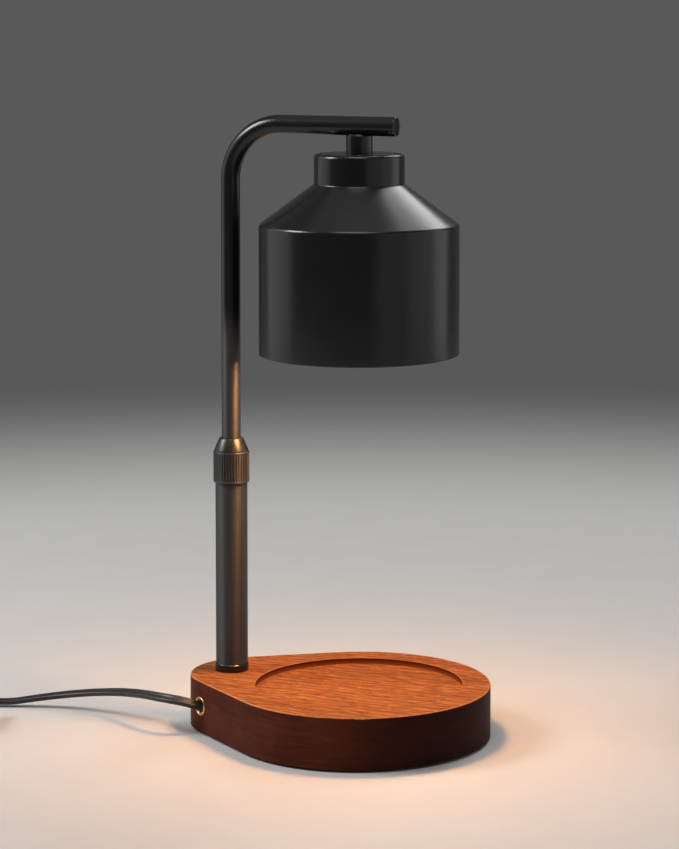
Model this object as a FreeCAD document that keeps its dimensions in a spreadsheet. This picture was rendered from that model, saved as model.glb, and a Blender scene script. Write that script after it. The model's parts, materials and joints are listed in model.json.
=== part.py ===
"""Candle warmer lamp: a teardrop wood base, a height-adjustable pole and a shaded reflector bulb.

The origin is the middle of the base's footprint on the table, +X points from the pole to the
shade and +Z is up. Sizes are in millimetres and live in the Sizes sheet.
"""

import FreeCAD, Part
import math
import os
import re
import Sketcher
from FreeCAD import Placement, Rotation, Vector

doc = FreeCAD.newDocument("CandleWarmerLamp")

# ---------------------------------------------------------------------------------------------
# Driving sizes
# ---------------------------------------------------------------------------------------------
SIZES = {
    # base: a large disc under the shade and a smaller lobe round the pole, joined by tangents
    "shade_reach": 70.0,
    "disc_radius": 65.0,
    "lobe_radius": 31.5,
    "lobe_offset": 12.0,
    "base_thickness": 25.3,
    "base_edge_round": 0.9,
    "recess_radius": 51.2,
    "recess_depth": 3.0,
    "recess_edge_round": 0.4,
    "recess_floor": 8.0,
    "cavity_wall": 13.0,
    "plate_ledge_wall": 5.0,
    "plate_thickness": 3.0,
    "plate_gap": 0.3,
    "foot_height": 1.2,
    "foot_radius": 7.0,
    # wood screws of the plate
    "screw_radius": 1.5,
    "screw_head_radius": 2.75,
    "screw_head_height": 1.5,
    "screw_length": 9.0,
    # cord outlet
    "outlet_height": 14.0,
    "outlet_past_tangent": 3.0,
    "eyelet_radius": 4.75,
    "eyelet_lip": 0.6,
    "eyelet_barrel_radius": 3.7,
    "eyelet_bore_radius": 3.2,
    "eyelet_length": 9.0,
    # pole
    "pole_radius": 8.0,
    "pole_wall": 1.0,
    "pole_length": 93.8,
    "pole_foot_radius": 8.3,
    "pole_foot_height": 4.0,
    "plug_height": 12.0,
    "rod_radius": 5.0,
    "rod_bore_radius": 3.75,
    "rod_clearance": 0.25,
    "pole_nut_height": 4.0,
    "pole_nut_across": 16.0,
    "pole_washer_radius": 9.0,
    "pole_washer_thickness": 1.5,
    "rod_end_stand_out": 1.5,
    # clamp at the top of the pole
    "seat_depth": 10.0,
    "seat_flange_height": 1.5,
    "seat_thread_radius": 7.0,
    "seat_thread_height": 8.5,
    "seat_cup_depth": 3.3,
    "collet_land_radius": 6.2,
    "collet_toe_radius": 5.3,
    "collet_nose_radius": 5.35,
    "collet_length": 9.8,
    "collet_slit": 1.2,
    "nut_radius": 9.0,
    "nut_skirt": 2.0,
    "nut_knurl_height": 15.6,
    "nut_cone_height": 6.7,
    "nut_cone_radius": 8.6,
    "nut_nose_radius": 5.8,
    "running_gap": 0.05,
    "turning_gap": 0.1,
    # bent arm
    "arm_radius": 4.75,
    "arm_wall": 0.9,
    "arm_height": 301.8,
    "arm_bend_radius": 28.0,
    "arm_reach": 89.9,
    "arm_cap_thickness": 0.8,
    "arm_cap_bevel": 0.5,
    "arm_cap_spigot": 5.0,
    "bush_height": 10.0,
    "arm_tail": 2.0,
    "up_travel": 12.0,
    "stop_gap": 0.3,
    # shade and what hangs it
    "stem_height": 8.55,
    "shade_wall": 1.0,
    "neck_radius": 22.2,
    "neck_height": 14.9,
    "cone_height": 19.8,
    "skirt_radius": 49.0,
    "skirt_height": 63.9,
    "rim_round": 0.45,
    "spin_round": 2.0,
    "stem_radius": 6.5,
    "stem_saddle": 0.9,
    "stem_chamfer": 0.8,
    "nipple_radius": 4.0,
    "nipple_bore_radius": 2.75,
    "nipple_grip": 7.0,
    "nipple_gap": 0.1,
    "shade_nut_height": 3.0,
    "shade_nut_across": 13.0,
    "shade_washer_radius": 7.5,
    "shade_washer_thickness": 1.0,
    "vent_radius": 2.0,
    "vent_count": 8,
    # lamp holder
    "bracket_thickness": 1.2,
    "bracket_width": 14.0,
    "bracket_half_span": 14.6,
    "bracket_foot": 7.0,
    "holder_drop": 11.7,
    "holder_radius": 14.0,
    "holder_height": 15.0,
    "holder_screw_at": 10.5,
    "holder_screw_length": 9.0,
    "contact_width": 4.0,
    "contact_height": 4.0,
    # reflector bulb with a two-pin twist base
    "pin_spread": 5.0,
    "pin_radius": 2.5,
    "pin_neck_radius": 1.6,
    "pin_head_height": 3.5,
    "pin_length": 7.0,
    "pin_clearance": 0.2,
    "bulb_gap": 0.15,
    "bulb_base_radius": 10.0,
    "bulb_base_height": 12.0,
    "bulb_radius": 24.8,
    "bulb_length": 50.0,
    "bulb_rim_height": 3.2,
    "glass_wall": 1.2,
    "lens_thickness": 2.0,
    "capsule_radius": 4.5,
    "capsule_length": 20.0,
    # wiring
    "clamp_ahead": 13.45,
    "clamp_aside": 14.0,
    "clamp_length": 6.0,
    "clamp_screw_at": 5.2,
    "crimp_ahead": 36.0,
    "lead_radius": 1.0,
    "lead_offset": 1.1,
    "lead_start": 3.5,
    "crimp_radius": 2.9,
    "crimp_length": 14.0,
    # flat twin cord
    "cord_width": 5.2,
    "cord_thickness": 2.6,
    "coil_ring_radius": 28.6,
    "coil_columns": 3.0,
    "coil_layer_pitch": 2.8,
    # in-line dimmer
    "dimmer_long": 50.0,
    "dimmer_wide": 26.0,
    "dimmer_corner": 7.0,
    "dimmer_split": 7.0,
    "dimmer_high": 16.0,
    "dimmer_wall": 1.6,
    "dimmer_post_at": 19.0,
    "dimmer_post_radius": 2.6,
    "dimmer_screw_radius": 1.25,
    "dimmer_rib": 1.6,
    "board_long": 30.0,
    "board_wide": 20.0,
    "board_thickness": 1.6,
    "pot_radius": 8.0,
    "pot_height": 6.0,
    "bushing_radius": 3.9,
    "shaft_radius": 3.0,
    "knob_radius": 10.0,
    "knob_height": 7.0,
    "knob_gap": 0.4,
    "sleeve_length": 6.0,
    "sleeve_radius": 4.2,
    "sleeve_tip_radius": 3.3,
    "sleeve_in": 3.0,
    # plug
    "plug_long": 20.0,
    "plug_wide": 20.0,
    "plug_thick": 12.0,
    "plug_corner": 3.0,
    "plug_neck": 9.0,
    "plug_neck_radius": 4.6,
    "blade_length": 17.0,
    "blade_height": 6.35,
    "blade_thickness": 1.5,
    "blade_spread": 12.7,
}

# Levels and places that follow from the sizes above.
DERIVED = {
    "base_length": "lobe_radius - lobe_offset + shade_reach + disc_radius",
    "pole_x": "lobe_radius - lobe_offset - base_length / 2",
    "shade_x": "pole_x + shade_reach",
    "lobe_x": "pole_x + lobe_offset",
    "base_top": "foot_height + base_thickness",
    "plate_top": "foot_height + plate_thickness",
    "cavity_top": "base_top - recess_depth - recess_floor",
    "plate_screw_inset": "(plate_ledge_wall + cavity_wall) / 2",
    "pole_bottom": "base_top + pole_foot_height",
    "pole_top": "pole_bottom + pole_length",
    "rod_bottom": "cavity_top - pole_washer_thickness - pole_nut_height - rod_end_stand_out",
    "rod_top": "pole_bottom + plug_height - 2",
    "seat_bottom": "pole_top - seat_depth",
    "seat_shoulder": "pole_top + seat_flange_height",
    "seat_top": "seat_shoulder + seat_thread_height",
    "nut_bottom": "pole_top - nut_skirt",
    "nut_knurl_top": "nut_bottom + nut_knurl_height",
    "nut_top": "nut_knurl_top + nut_cone_height",
    "collet_bottom": "seat_top - seat_cup_depth + 0.2",
    "collet_top": "collet_bottom + collet_length",
    "arm_bore_radius": "arm_radius - arm_wall",
    "bush_top": "seat_bottom - up_travel - stop_gap",
    "bush_bottom": "bush_top - bush_height",
    "arm_bottom": "bush_bottom - arm_tail",
    "stem_top": "arm_height - arm_radius + stem_saddle",
    "shade_top": "arm_height - arm_radius - stem_height",
    "neck_bottom": "shade_top - neck_height",
    "shoulder_height": "neck_bottom - cone_height",
    "rim_height": "shoulder_height - skirt_height",
    "shade_inside": "shade_top - shade_wall",
    "vent_ring_radius": "(bracket_half_span + neck_radius - shade_wall) / 2",
    "bracket_bottom": "shade_inside - bracket_thickness",
    "washer_bottom": "bracket_bottom - shade_washer_thickness",
    "nipple_bottom": "washer_bottom - shade_nut_height - 1",
    "holder_top": "shade_inside - holder_drop",
    "holder_bottom": "holder_top - holder_height",
    "bulb_top": "holder_bottom - bulb_gap",
    "bulb_bottom": "bulb_top - bulb_length",
    "bulb_waist": "bulb_top - bulb_base_height",
    "contact_bottom": "bulb_top + pin_length + 0.6",
}

doc_sheet = doc.addObject("Spreadsheet::Sheet", "Sizes")
for row, (alias, size) in enumerate(SIZES.items(), start=1):
    doc_sheet.set(f"A{row}", alias)
    doc_sheet.set(f"B{row}", str(size))
    doc_sheet.setAlias(f"B{row}", alias)
for row, (alias, formula) in enumerate(DERIVED.items(), start=len(SIZES) + 1):
    doc_sheet.set(f"A{row}", alias)
    doc_sheet.setAlias(f"B{row}", alias)
    doc_sheet.set(f"B{row}", "=" + formula)
doc.recompute()

SIZE_NAMES = set(SIZES) | set(DERIVED)
WORD = re.compile(r"[a-z][a-z_0-9]*")


# ---------------------------------------------------------------------------------------------
# Helpers that tie features to the sheet
# ---------------------------------------------------------------------------------------------
def val(formula):
    """The number that a formula of size names gives."""
    number = doc_sheet.evalExpression(formula)
    return float(getattr(number, "Value", number))


def tie(item, prop, formula):
    """Bind a property to a formula of size names."""
    linked = WORD.sub(
        lambda m: "Sizes." + m.group() if m.group() in SIZE_NAMES else m.group(), formula
    )
    item.setExpression(prop, linked)


def place(item, x="0", y="0", z="0", turn=None):
    """Put an item at a formula-driven place, with an optional fixed rotation."""
    item.Placement = Placement(Vector(val(x), val(y), val(z)), turn or Rotation())
    for axis, formula in (("x", x), ("y", y), ("z", z)):
        if formula != "0":
            tie(item, f"Placement.Base.{axis}", formula)
    return item


def new_body(label):
    body = doc.addObject("PartDesign::Body", label)
    body.Label = label
    return body


def new_sketch(body, role, name, lift=None):
    """A sketch on one of the body's own origin planes, raised off it by a formula."""
    flat = body.newObject("Sketcher::SketchObject", f"{body.Name}_{name}")
    plane = next(o for o in body.Origin.OriginFeatures if o.Role == role)
    flat.AttachmentSupport = [(plane, "")]
    flat.MapMode = "FlatFace"
    if lift:
        flat.AttachmentOffset = Placement(Vector(0, 0, val(lift)), Rotation())
        tie(flat, "AttachmentOffset.Base.z", lift)
    return flat


def pin_point(flat, index, which, x, y):
    """Hold one point of a sketch at formulas measured from the sketch's origin."""
    if x == "0" and y == "0":
        flat.addConstraint(Sketcher.Constraint("Coincident", index, which, -1, 1))
        return
    for kind, formula, own_axis in (("DistanceX", x, -2), ("DistanceY", y, -1)):
        if formula == "0":
            flat.addConstraint(Sketcher.Constraint("PointOnObject", index, which, own_axis))
        else:
            at = flat.addConstraint(
                Sketcher.Constraint(kind, -1, 1, index, which, val(formula))
            )
            tie(flat, f"Constraints[{at}]", formula)


def draw_outline(flat, corners):
    """A closed outline of straight sides, its corners given as pairs of formulas."""
    spots = [Vector(val(x), val(y), 0) for x, y in corners]
    first = flat.GeometryCount
    count = len(spots)
    flat.addGeometry(
        [Part.LineSegment(spots[i], spots[(i + 1) % count]) for i in range(count)], False
    )
    for i in range(count):
        flat.addConstraint(
            Sketcher.Constraint("Coincident", first + i, 2, first + (i + 1) % count, 1)
        )
    for i, (x, y) in enumerate(corners):
        pin_point(flat, first + i, 1, x, y)


def draw_box(flat, wide, deep, x="0", y="0"):
    """A rectangle round a centre."""
    left, right = f"({x}) - ({wide}) / 2", f"({x}) + ({wide}) / 2"
    low, high = f"({y}) - ({deep}) / 2", f"({y}) + ({deep}) / 2"
    draw_outline(flat, [(left, low), (right, low), (right, high), (left, high)])


def draw_circle(flat, radius, x="0", y="0"):
    centre = Vector(val(x), val(y), 0)
    index = flat.addGeometry(Part.Circle(centre, Vector(0, 0, 1), val(radius)), False)
    at = flat.addConstraint(Sketcher.Constraint("Radius", index, val(radius)))
    tie(flat, f"Constraints[{at}]", radius)
    pin_point(flat, index, 3, x, y)


def draw_teardrop(flat, inset):
    """The base's plan drawn inwards by an inset: two arcs and the two lines tangent to both."""
    shade, lobe = Vector(val("shade_x"), 0, 0), Vector(val("lobe_x"), 0, 0)
    big, small = val(f"disc_radius - ({inset})"), val(f"lobe_radius - ({inset})")
    lean = math.acos((small - big) / (shade.x - lobe.x))
    up = Vector(0, 0, 1)

    def spot(centre, radius, angle):
        return centre + Vector(radius * math.cos(angle), radius * math.sin(angle), 0)

    flat.addGeometry(
        [
            Part.ArcOfCircle(Part.Circle(shade, up, big), -lean, lean),
            Part.LineSegment(spot(shade, big, lean), spot(lobe, small, lean)),
            Part.ArcOfCircle(Part.Circle(lobe, up, small), lean, 2 * math.pi - lean),
            Part.LineSegment(spot(lobe, small, -lean), spot(shade, big, -lean)),
        ],
        False,
    )
    for index in range(4):
        flat.addConstraint(Sketcher.Constraint("Tangent", index, 2, (index + 1) % 4, 1))
    for index, radius, x in ((0, "disc_radius", "shade_x"), (2, "lobe_radius", "lobe_x")):
        formula = f"{radius} - ({inset})"
        at = flat.addConstraint(Sketcher.Constraint("Radius", index, val(formula)))
        tie(flat, f"Constraints[{at}]", formula)
        pin_point(flat, index, 3, x, "0")


def pad(body, flat, length):
    """Add the sketch's outline upwards along its normal."""
    feature = body.newObject("PartDesign::Pad", f"{flat.Name}_pad")
    feature.Profile = flat
    feature.Length = val(length)
    tie(feature, "Length", length)
    return feature


def pocket(body, flat, length, upwards=False):
    """Cut the sketch's outline out of the body, and make sure that something was cut."""
    doc.recompute()
    before = body.Shape.Volume
    feature = body.newObject("PartDesign::Pocket", f"{flat.Name}_cut")
    feature.Profile = flat
    feature.Length = val(length)
    feature.Reversed = upwards
    tie(feature, "Length", length)
    doc.recompute()
    if not body.Shape.Volume < before - 1e-3:
        raise RuntimeError(f"{feature.Name} cuts nothing")
    return feature


def repeat_round(body, cut, flat, count):
    """Repeat a cut evenly round its sketch's normal, and make sure that the copies cut."""
    before = body.Shape.Volume
    feature = body.newObject("PartDesign::PolarPattern", f"{cut.Name}_ring")
    feature.Originals = [cut]
    feature.Axis = (flat, ["N_Axis"])
    feature.Angle = 360.0
    feature.Occurrences = round(val(count))
    tie(feature, "Occurrences", count)
    body.Tip = feature
    doc.recompute()
    if not body.Shape.Volume < before - 1e-3:
        raise RuntimeError(f"{feature.Name} cuts nothing")
    return feature


def drill(body, name, radius, length, start, direction):
    """Cut a round hole from a start point along a direction."""
    doc.recompute()
    before = body.Shape.Volume
    feature = body.newObject("PartDesign::SubtractiveCylinder", f"{body.Name}_{name}")
    plane = next(o for o in body.Origin.OriginFeatures if o.Role == "XY_Plane")
    feature.AttachmentSupport = [(plane, "")]
    feature.MapMode = "FlatFace"
    feature.AttachmentOffset = Placement(start, Rotation(Vector(0, 0, 1), direction))
    feature.Radius = val(radius)
    feature.Height = val(length)
    tie(feature, "Radius", radius)
    tie(feature, "Height", length)
    doc.recompute()
    if not body.Shape.Volume < before - 1e-3:
        raise RuntimeError(f"{feature.Name} cuts nothing")
    return feature


def round_edges(body, radius, chosen, name="round", chamfer=False):
    """Round or bevel the edges of the body's last feature that a test picks."""
    doc.recompute()
    tip = body.Tip
    edges = [f"Edge{i + 1}" for i, edge in enumerate(tip.Shape.Edges) if chosen(edge)]
    if not edges:
        raise RuntimeError(f"{body.Label}: no edge to round")
    kind = "PartDesign::Chamfer" if chamfer else "PartDesign::Fillet"
    feature = body.newObject(kind, f"{body.Name}_{name}")
    feature.Base = (tip, edges)
    prop = "Size" if chamfer else "Radius"
    setattr(feature, prop, val(radius))
    tie(feature, prop, radius)
    return feature


def level(edge, height):
    """Whether an edge lies wholly at a height."""
    box = edge.BoundBox
    return abs(box.ZMin - height) < 1e-4 and abs(box.ZMax - height) < 1e-4


def ring_edge(edge, radius, height):
    """Whether an edge is a circle of this radius at this height."""
    round_edge = isinstance(edge.Curve, Part.Circle)
    return round_edge and level(edge, height) and abs(edge.Curve.Radius - radius) < 1e-4


def turned(label, outline, x="0", y="0", z="0", turn=None):
    """A turned piece: a closed outline of (radius, height) formulas spun about its own axis."""
    body = new_body(label)
    flat = new_sketch(body, "XZ_Plane", "outline")
    draw_outline(flat, outline)
    feature = body.newObject("PartDesign::Revolution", f"{label}_spin")
    feature.Profile = flat
    feature.ReferenceAxis = (flat, ["V_Axis"])
    feature.Angle = 360.0
    return place(body, x, y, z, turn)


def sleeve(outer, inner, bottom, top):
    """The outline of a plain tube."""
    return [(inner, bottom), (outer, bottom), (outer, top), (inner, top)]


def group(label, pieces):
    """Pieces that share one node."""
    cluster = doc.addObject("Part::Compound", label)
    cluster.Label = label
    cluster.Links = pieces
    return cluster


def hexagon_nut(label, across, bore, height, x, z):
    """A plain hexagon nut with its bottom face at z."""
    body = new_body(label)
    flat = new_sketch(body, "XY_Plane", "hexagon")
    corner = f"({across}) / (2 * cos(30))"
    draw_outline(
        flat, [(f"{corner} * cos({60 * i + 30})", f"{corner} * sin({60 * i + 30})") for i in range(6)]
    )
    draw_circle(flat, bore)
    pad(body, flat, height)
    return place(body, x, "0", z)


# ---------------------------------------------------------------------------------------------
# Routes of cords and leads: straight runs joined by tangent arcs
# ---------------------------------------------------------------------------------------------
ARC_SHARE = 0.45


def route_wire(points, label):
    """A wire along straight runs whose corners are arcs as large as the runs allow."""
    edges = []
    here = points[0]
    radii = []
    for before, corner, after in zip(points, points[1:], points[2:]):
        back, on = before - corner, after - corner
        shorter = min(back.Length, on.Length)
        back.normalize()
        on.normalize()
        half_turn = (math.pi - back.getAngle(on)) / 2
        cut = ARC_SHARE * shorter
        radius = cut / math.tan(half_turn)
        radii.append(radius)
        start, end = corner + back * cut, corner + on * cut
        inward = (back + on).normalize()
        middle = corner + inward * (radius / math.cos(half_turn) - radius)
        edges.append(Part.LineSegment(here, start).toShape())
        edges.append(Part.Arc(start, middle, end).toShape())
        here = end
    edges.append(Part.LineSegment(here, points[-1]).toShape())
    if radii:
        print(f"{label}: arc radii {', '.join(f'{r:.1f}' for r in radii)}")
    return Part.Wire(edges)


def checked_sweep(shape, area, length, label):
    """Stop if a swept solid isn't its section times its length."""
    share = shape.Volume / (area * length)
    print(f"{label}: volume over section times length {share:.3f}")
    if not (shape.isValid() and 0.93 < share < 1.07):
        raise RuntimeError(f"{label} isn't a sound sweep")
    return shape


def round_lead(points, radius, label):
    """A round lead along a route."""
    wire = route_wire(points, label)
    sweep = Part.BRepOffsetAPI.MakePipeShell(wire)
    heading = points[1] - points[0]
    ring = Part.Wire([Part.Circle(points[0], heading, radius).toShape()])
    sweep.add(ring)
    sweep.build()
    sweep.makeSolid()
    return checked_sweep(sweep.shape(), math.pi * radius**2, wire.Length, label)


def flat_cord(points, label):
    """The flat twin cord along a route, its wide side level."""
    wire = route_wire(points, label)
    wide, thick = val("cord_width"), val("cord_thickness")
    heading = (points[1] - points[0]).normalize()
    side = heading.cross(Vector(0, 0, 1)).normalize()
    up = side.cross(heading).normalize()
    reach, radius = (wide - thick) / 2, thick / 2

    def spot(across, lift):
        return points[0] + side * across + up * lift

    section = Part.Wire(
        [
            Part.LineSegment(spot(-reach, -radius), spot(reach, -radius)).toShape(),
            Part.Arc(spot(reach, -radius), spot(reach + radius, 0), spot(reach, radius)).toShape(),
            Part.LineSegment(spot(reach, radius), spot(-reach, radius)).toShape(),
            Part.Arc(
                spot(-reach, radius), spot(-reach - radius, 0), spot(-reach, -radius)
            ).toShape(),
        ]
    )
    sweep = Part.BRepOffsetAPI.MakePipeShell(wire)
    sweep.setBiNormalMode(Vector(0, 0, 1))
    sweep.add(section)
    sweep.build()
    sweep.makeSolid()
    area = 2 * reach * thick + math.pi * radius**2
    return checked_sweep(sweep.shape(), area, wire.Length, label)


def shaped(label, solids):
    """A node whose solids are set directly, for what neither features nor primitives make."""
    piece = doc.addObject("Part::Feature", label)
    piece.Label = label
    piece.Shape = solids[0] if len(solids) == 1 else Part.makeCompound(solids)
    piece.Placement = Placement()
    return piece


def away(origin, reach, degrees, z=0.0):
    """A point at a reach and heading from an origin, at a height."""
    turn = math.radians(degrees)
    return Vector(origin.x + reach * math.cos(turn), origin.y + reach * math.sin(turn), z)


# ---------------------------------------------------------------------------------------------
# Places on the base's plan
# ---------------------------------------------------------------------------------------------
POLE = Vector(val("pole_x"), 0, 0)
SHADE = Vector(val("shade_x"), 0, 0)
LOBE = Vector(val("lobe_x"), 0, 0)
SIDE_LEAN = math.degrees(
    math.acos((val("lobe_radius") - val("disc_radius")) / (SHADE.x - LOBE.x))
)
OUTWARD = away(Vector(), 1.0, -SIDE_LEAN)
ALONG_SIDE = away(Vector(), 1.0, 90 - SIDE_LEAN)
OUTLET = (
    LOBE
    + OUTWARD * val("lobe_radius")
    + ALONG_SIDE * val("outlet_past_tangent")
    + Vector(0, 0, val("outlet_height"))
)

# Each plate screw and foot: the circle it stands on, that circle's middle and its own heading.
PLATE_SCREWS = [("disc_radius", "shade_x", 45), ("disc_radius", "shade_x", -45)]
PLATE_SCREWS += [("lobe_radius", "lobe_x", 88), ("lobe_radius", "lobe_x", -88)]
FEET = [("disc_radius", "shade_x", 62), ("disc_radius", "shade_x", -62)]
FEET += [("lobe_radius", "lobe_x", 130), ("lobe_radius", "lobe_x", -130)]


def on_plan(spot, inset):
    """The x and y formulas of a place inside the plan's edge."""
    radius, middle, heading = spot
    reach = f"({radius} - ({inset}))"
    return f"{middle} + {reach} * cos({heading})", f"{reach} * sin({heading})"


# Inside the base the cord runs under a clamp beside the pole's nut, to the two crimps.
CLAMP_AT = POLE + Vector(val("clamp_ahead"), -val("clamp_aside"), 0)
CLAMP_HEADING = 12.5
CORD_END = away(CLAMP_AT, val("clamp_length") / 2 + 0.3, CLAMP_HEADING)
CRIMP_X = POLE.x + val("crimp_ahead")
CRIMP_SPREAD = val("crimp_radius") + 0.7


# ---------------------------------------------------------------------------------------------
# Base
# ---------------------------------------------------------------------------------------------
def make_wood_base():
    """Solid wood teardrop: shallow round recess on top, wiring cavity and plate ledge below."""
    body = new_body("wood_base")
    plan = new_sketch(body, "XY_Plane", "plan", "foot_height")
    draw_teardrop(plan, "0")
    pad(body, plan, "base_thickness")
    recess = new_sketch(body, "XY_Plane", "recess", "base_top")
    draw_circle(recess, "recess_radius", "shade_x", "0")
    pocket(body, recess, "recess_depth")
    ledge = new_sketch(body, "XY_Plane", "ledge", "foot_height")
    draw_teardrop(ledge, "plate_ledge_wall")
    pocket(body, ledge, "plate_thickness", upwards=True)
    cavity = new_sketch(body, "XY_Plane", "cavity", "plate_top")
    draw_teardrop(cavity, "cavity_wall")
    pocket(body, cavity, "cavity_top - plate_top", upwards=True)
    well = new_sketch(body, "XY_Plane", "nut_well", "plate_top")
    draw_circle(well, "pole_washer_radius + 1", "pole_x", "0")
    pocket(body, well, "cavity_top - plate_top", upwards=True)
    hole = new_sketch(body, "XY_Plane", "rod_hole", "base_top")
    draw_circle(hole, "rod_radius + rod_clearance", "pole_x", "0")
    pocket(body, hole, "base_top - cavity_top")
    pilots = new_sketch(body, "XY_Plane", "pilots", "plate_top")
    for spot in PLATE_SCREWS:
        draw_circle(pilots, "screw_radius", *on_plan(spot, "plate_screw_inset"))
    pocket(body, pilots, "screw_length - plate_thickness + screw_head_height", upwards=True)
    drill(body, "outlet", "eyelet_barrel_radius", "cavity_wall + 4", OUTLET + OUTWARD, -OUTWARD)
    clamp_turn = Rotation(Vector(0, 0, 1), CLAMP_HEADING)
    for side in (-1, 1):
        start = CLAMP_AT + clamp_turn.multVec(Vector(0, side * val("clamp_screw_at"), 0))
        start.z = val("cavity_top")
        drill(body, f"clamp_pilot_{side + 2}", "screw_radius - 0.3", "5", start, Vector(0, 0, 1))
    top = val("base_top")
    arcs = [val("disc_radius"), val("lobe_radius")]

    def outer_top(edge):
        straight = isinstance(edge.Curve, Part.Line)
        return level(edge, top) and (straight or any(ring_edge(edge, r, top) for r in arcs))

    round_edges(body, "base_edge_round", outer_top, "edge")
    rim = val("recess_radius")
    round_edges(body, "recess_edge_round", lambda e: ring_edge(e, rim, top), "recess_edge")
    return body


def make_ballast_plate():
    """Steel plate that closes the base and weighs it down."""
    body = new_body("ballast_plate")
    plan = new_sketch(body, "XY_Plane", "plan", "foot_height")
    draw_teardrop(plan, "plate_ledge_wall + plate_gap")
    pad(body, plan, "plate_thickness")
    heads = new_sketch(body, "XY_Plane", "heads", "foot_height")
    shanks = new_sketch(body, "XY_Plane", "shanks", "foot_height")
    for spot in PLATE_SCREWS:
        x, y = on_plan(spot, "plate_screw_inset")
        draw_circle(heads, "screw_head_radius + 0.2", x, y)
        draw_circle(shanks, "screw_radius + 0.1", x, y)
    pocket(body, heads, "screw_head_height", upwards=True)
    pocket(body, shanks, "plate_thickness", upwards=True)
    return body


def screw_outline(head_radius, head_height, radius, length, point="2"):
    """A screw standing head down on z = 0."""
    return [
        ("0", "0"),
        (head_radius, "0"),
        (head_radius, head_height),
        (radius, head_height),
        (radius, f"{head_height} + {length} - {point}"),
        ("0", f"{head_height} + {length}"),
    ]


def make_plate_fixings():
    """The plate's four wood screws, and the four rubber feet stuck to it."""
    shape = screw_outline("screw_head_radius", "screw_head_height", "screw_radius", "screw_length - 1.5")
    screws = [
        turned(f"plate_screw_{i}", shape, *on_plan(spot, "plate_screw_inset"), "foot_height")
        for i, spot in enumerate(PLATE_SCREWS)
    ]
    group("plate_screws", screws)
    feet = []
    for i, spot in enumerate(FEET):
        foot = doc.addObject("Part::Cylinder", f"foot_{i}")
        tie(foot, "Radius", "foot_radius")
        tie(foot, "Height", "foot_height")
        feet.append(place(foot, *on_plan(spot, "plate_screw_inset + foot_radius")))
    group("rubber_feet", feet)


def make_outlet():
    """Brass eyelet where the cord leaves the base."""
    eyelet = turned(
        "cord_eyelet",
        [
            ("eyelet_bore_radius", "-eyelet_length"),
            ("eyelet_barrel_radius", "-eyelet_length"),
            ("eyelet_barrel_radius", "0"),
            ("eyelet_radius", "0"),
            ("eyelet_radius - 0.3", "eyelet_lip"),
            ("eyelet_bore_radius + 0.4", "eyelet_lip"),
            ("eyelet_bore_radius", "eyelet_lip - 0.4"),
        ],
    )
    eyelet.Placement = Placement(OUTLET, Rotation(Vector(0, 0, 1), OUTWARD))
    return eyelet


def make_cord_clamp():
    """Saddle that grips the cord against the cavity's ceiling, and its two screws."""
    body = new_body("cord_clamp")
    block = new_sketch(body, "XY_Plane", "block")
    draw_box(block, "clamp_length", "2 * (clamp_screw_at + screw_radius) + 2.2")
    pad(body, block, "cord_thickness + 1.6")
    slot = new_sketch(body, "XY_Plane", "slot", "1.2")
    draw_box(slot, "clamp_length + 2", "cord_width + 0.2")
    pocket(body, slot, "cord_thickness + 0.4", upwards=True)
    holes = new_sketch(body, "XY_Plane", "holes")
    for side in ("-clamp_screw_at", "clamp_screw_at"):
        draw_circle(holes, "screw_radius - 0.2", "0", side)
    pocket(body, holes, "cord_thickness + 1.6", upwards=True)
    turn = Rotation(Vector(0, 0, 1), CLAMP_HEADING)
    low = "cavity_top - cord_thickness - 1.6"
    place(body, z=low, turn=turn)
    body.Placement.Base = Vector(CLAMP_AT.x, CLAMP_AT.y, val(low))
    shape = screw_outline("screw_head_radius - 0.75", "1.4", "screw_radius - 0.3", "8")
    screws = []
    for side in (-1, 1):
        at = CLAMP_AT + turn.multVec(Vector(0, side * val("clamp_screw_at"), 0))
        screw = turned(f"clamp_screw_{side + 2}", shape, z=f"{low} - 1.4")
        screw.Placement.Base = Vector(at.x, at.y, val(f"{low} - 1.4"))
        screws.append(screw)
    group("clamp_screws", screws)
    return body


def make_wiring():
    """Crimp caps in the cavity and the four wire ends that meet in them."""
    level_z = val("plate_top") + val("crimp_radius") + 0.2
    caps = []
    for side in (-1, 1):
        cap = doc.addObject("Part::Cylinder", f"crimp_{side + 2}")
        tie(cap, "Radius", "crimp_radius")
        tie(cap, "Height", "crimp_length")
        middle = Vector(CRIMP_X, side * CRIMP_SPREAD, level_z)
        cap.Placement = Placement(middle, Rotation(Vector(0, 0, 1), Vector(1, 0, 0)))
        caps.append(cap)
    group("crimp_caps", caps)
    radius, offset = val("lead_radius"), val("lead_offset")
    ends = []
    for side in (-1, 1):
        cap_mouth = Vector(CRIMP_X, side * CRIMP_SPREAD + offset, level_z)
        riser = [
            Vector(POLE.x, side * offset, val("rod_bottom + lead_start")),
            Vector(POLE.x, side * offset, level_z),
            Vector(POLE.x + 10.0, side * (offset + 1.2), level_z),
            cap_mouth - Vector(8, 0, 0),
            cap_mouth,
        ]
        ends.append(round_lead(riser, radius, f"riser tail {side}"))
    for side in (-1, 1):
        cap_mouth = Vector(CRIMP_X, side * CRIMP_SPREAD - offset, level_z)
        core_start = CORD_END + away(Vector(), side * val("cord_thickness") / 2, CLAMP_HEADING + 90)
        core_start.z = cord_level_inside()
        core = [
            core_start,
            away(core_start, 3.5, CLAMP_HEADING, core_start.z),
            cap_mouth - Vector(3.0, 0, 0),
            cap_mouth,
        ]
        ends.append(round_lead(core, radius, f"cord core {side}"))
    shaped("wire_ends", ends)


def cord_level_inside():
    """Height of the cord's middle under the clamp."""
    return val("cavity_top - cord_thickness / 2 - 0.2")


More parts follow.
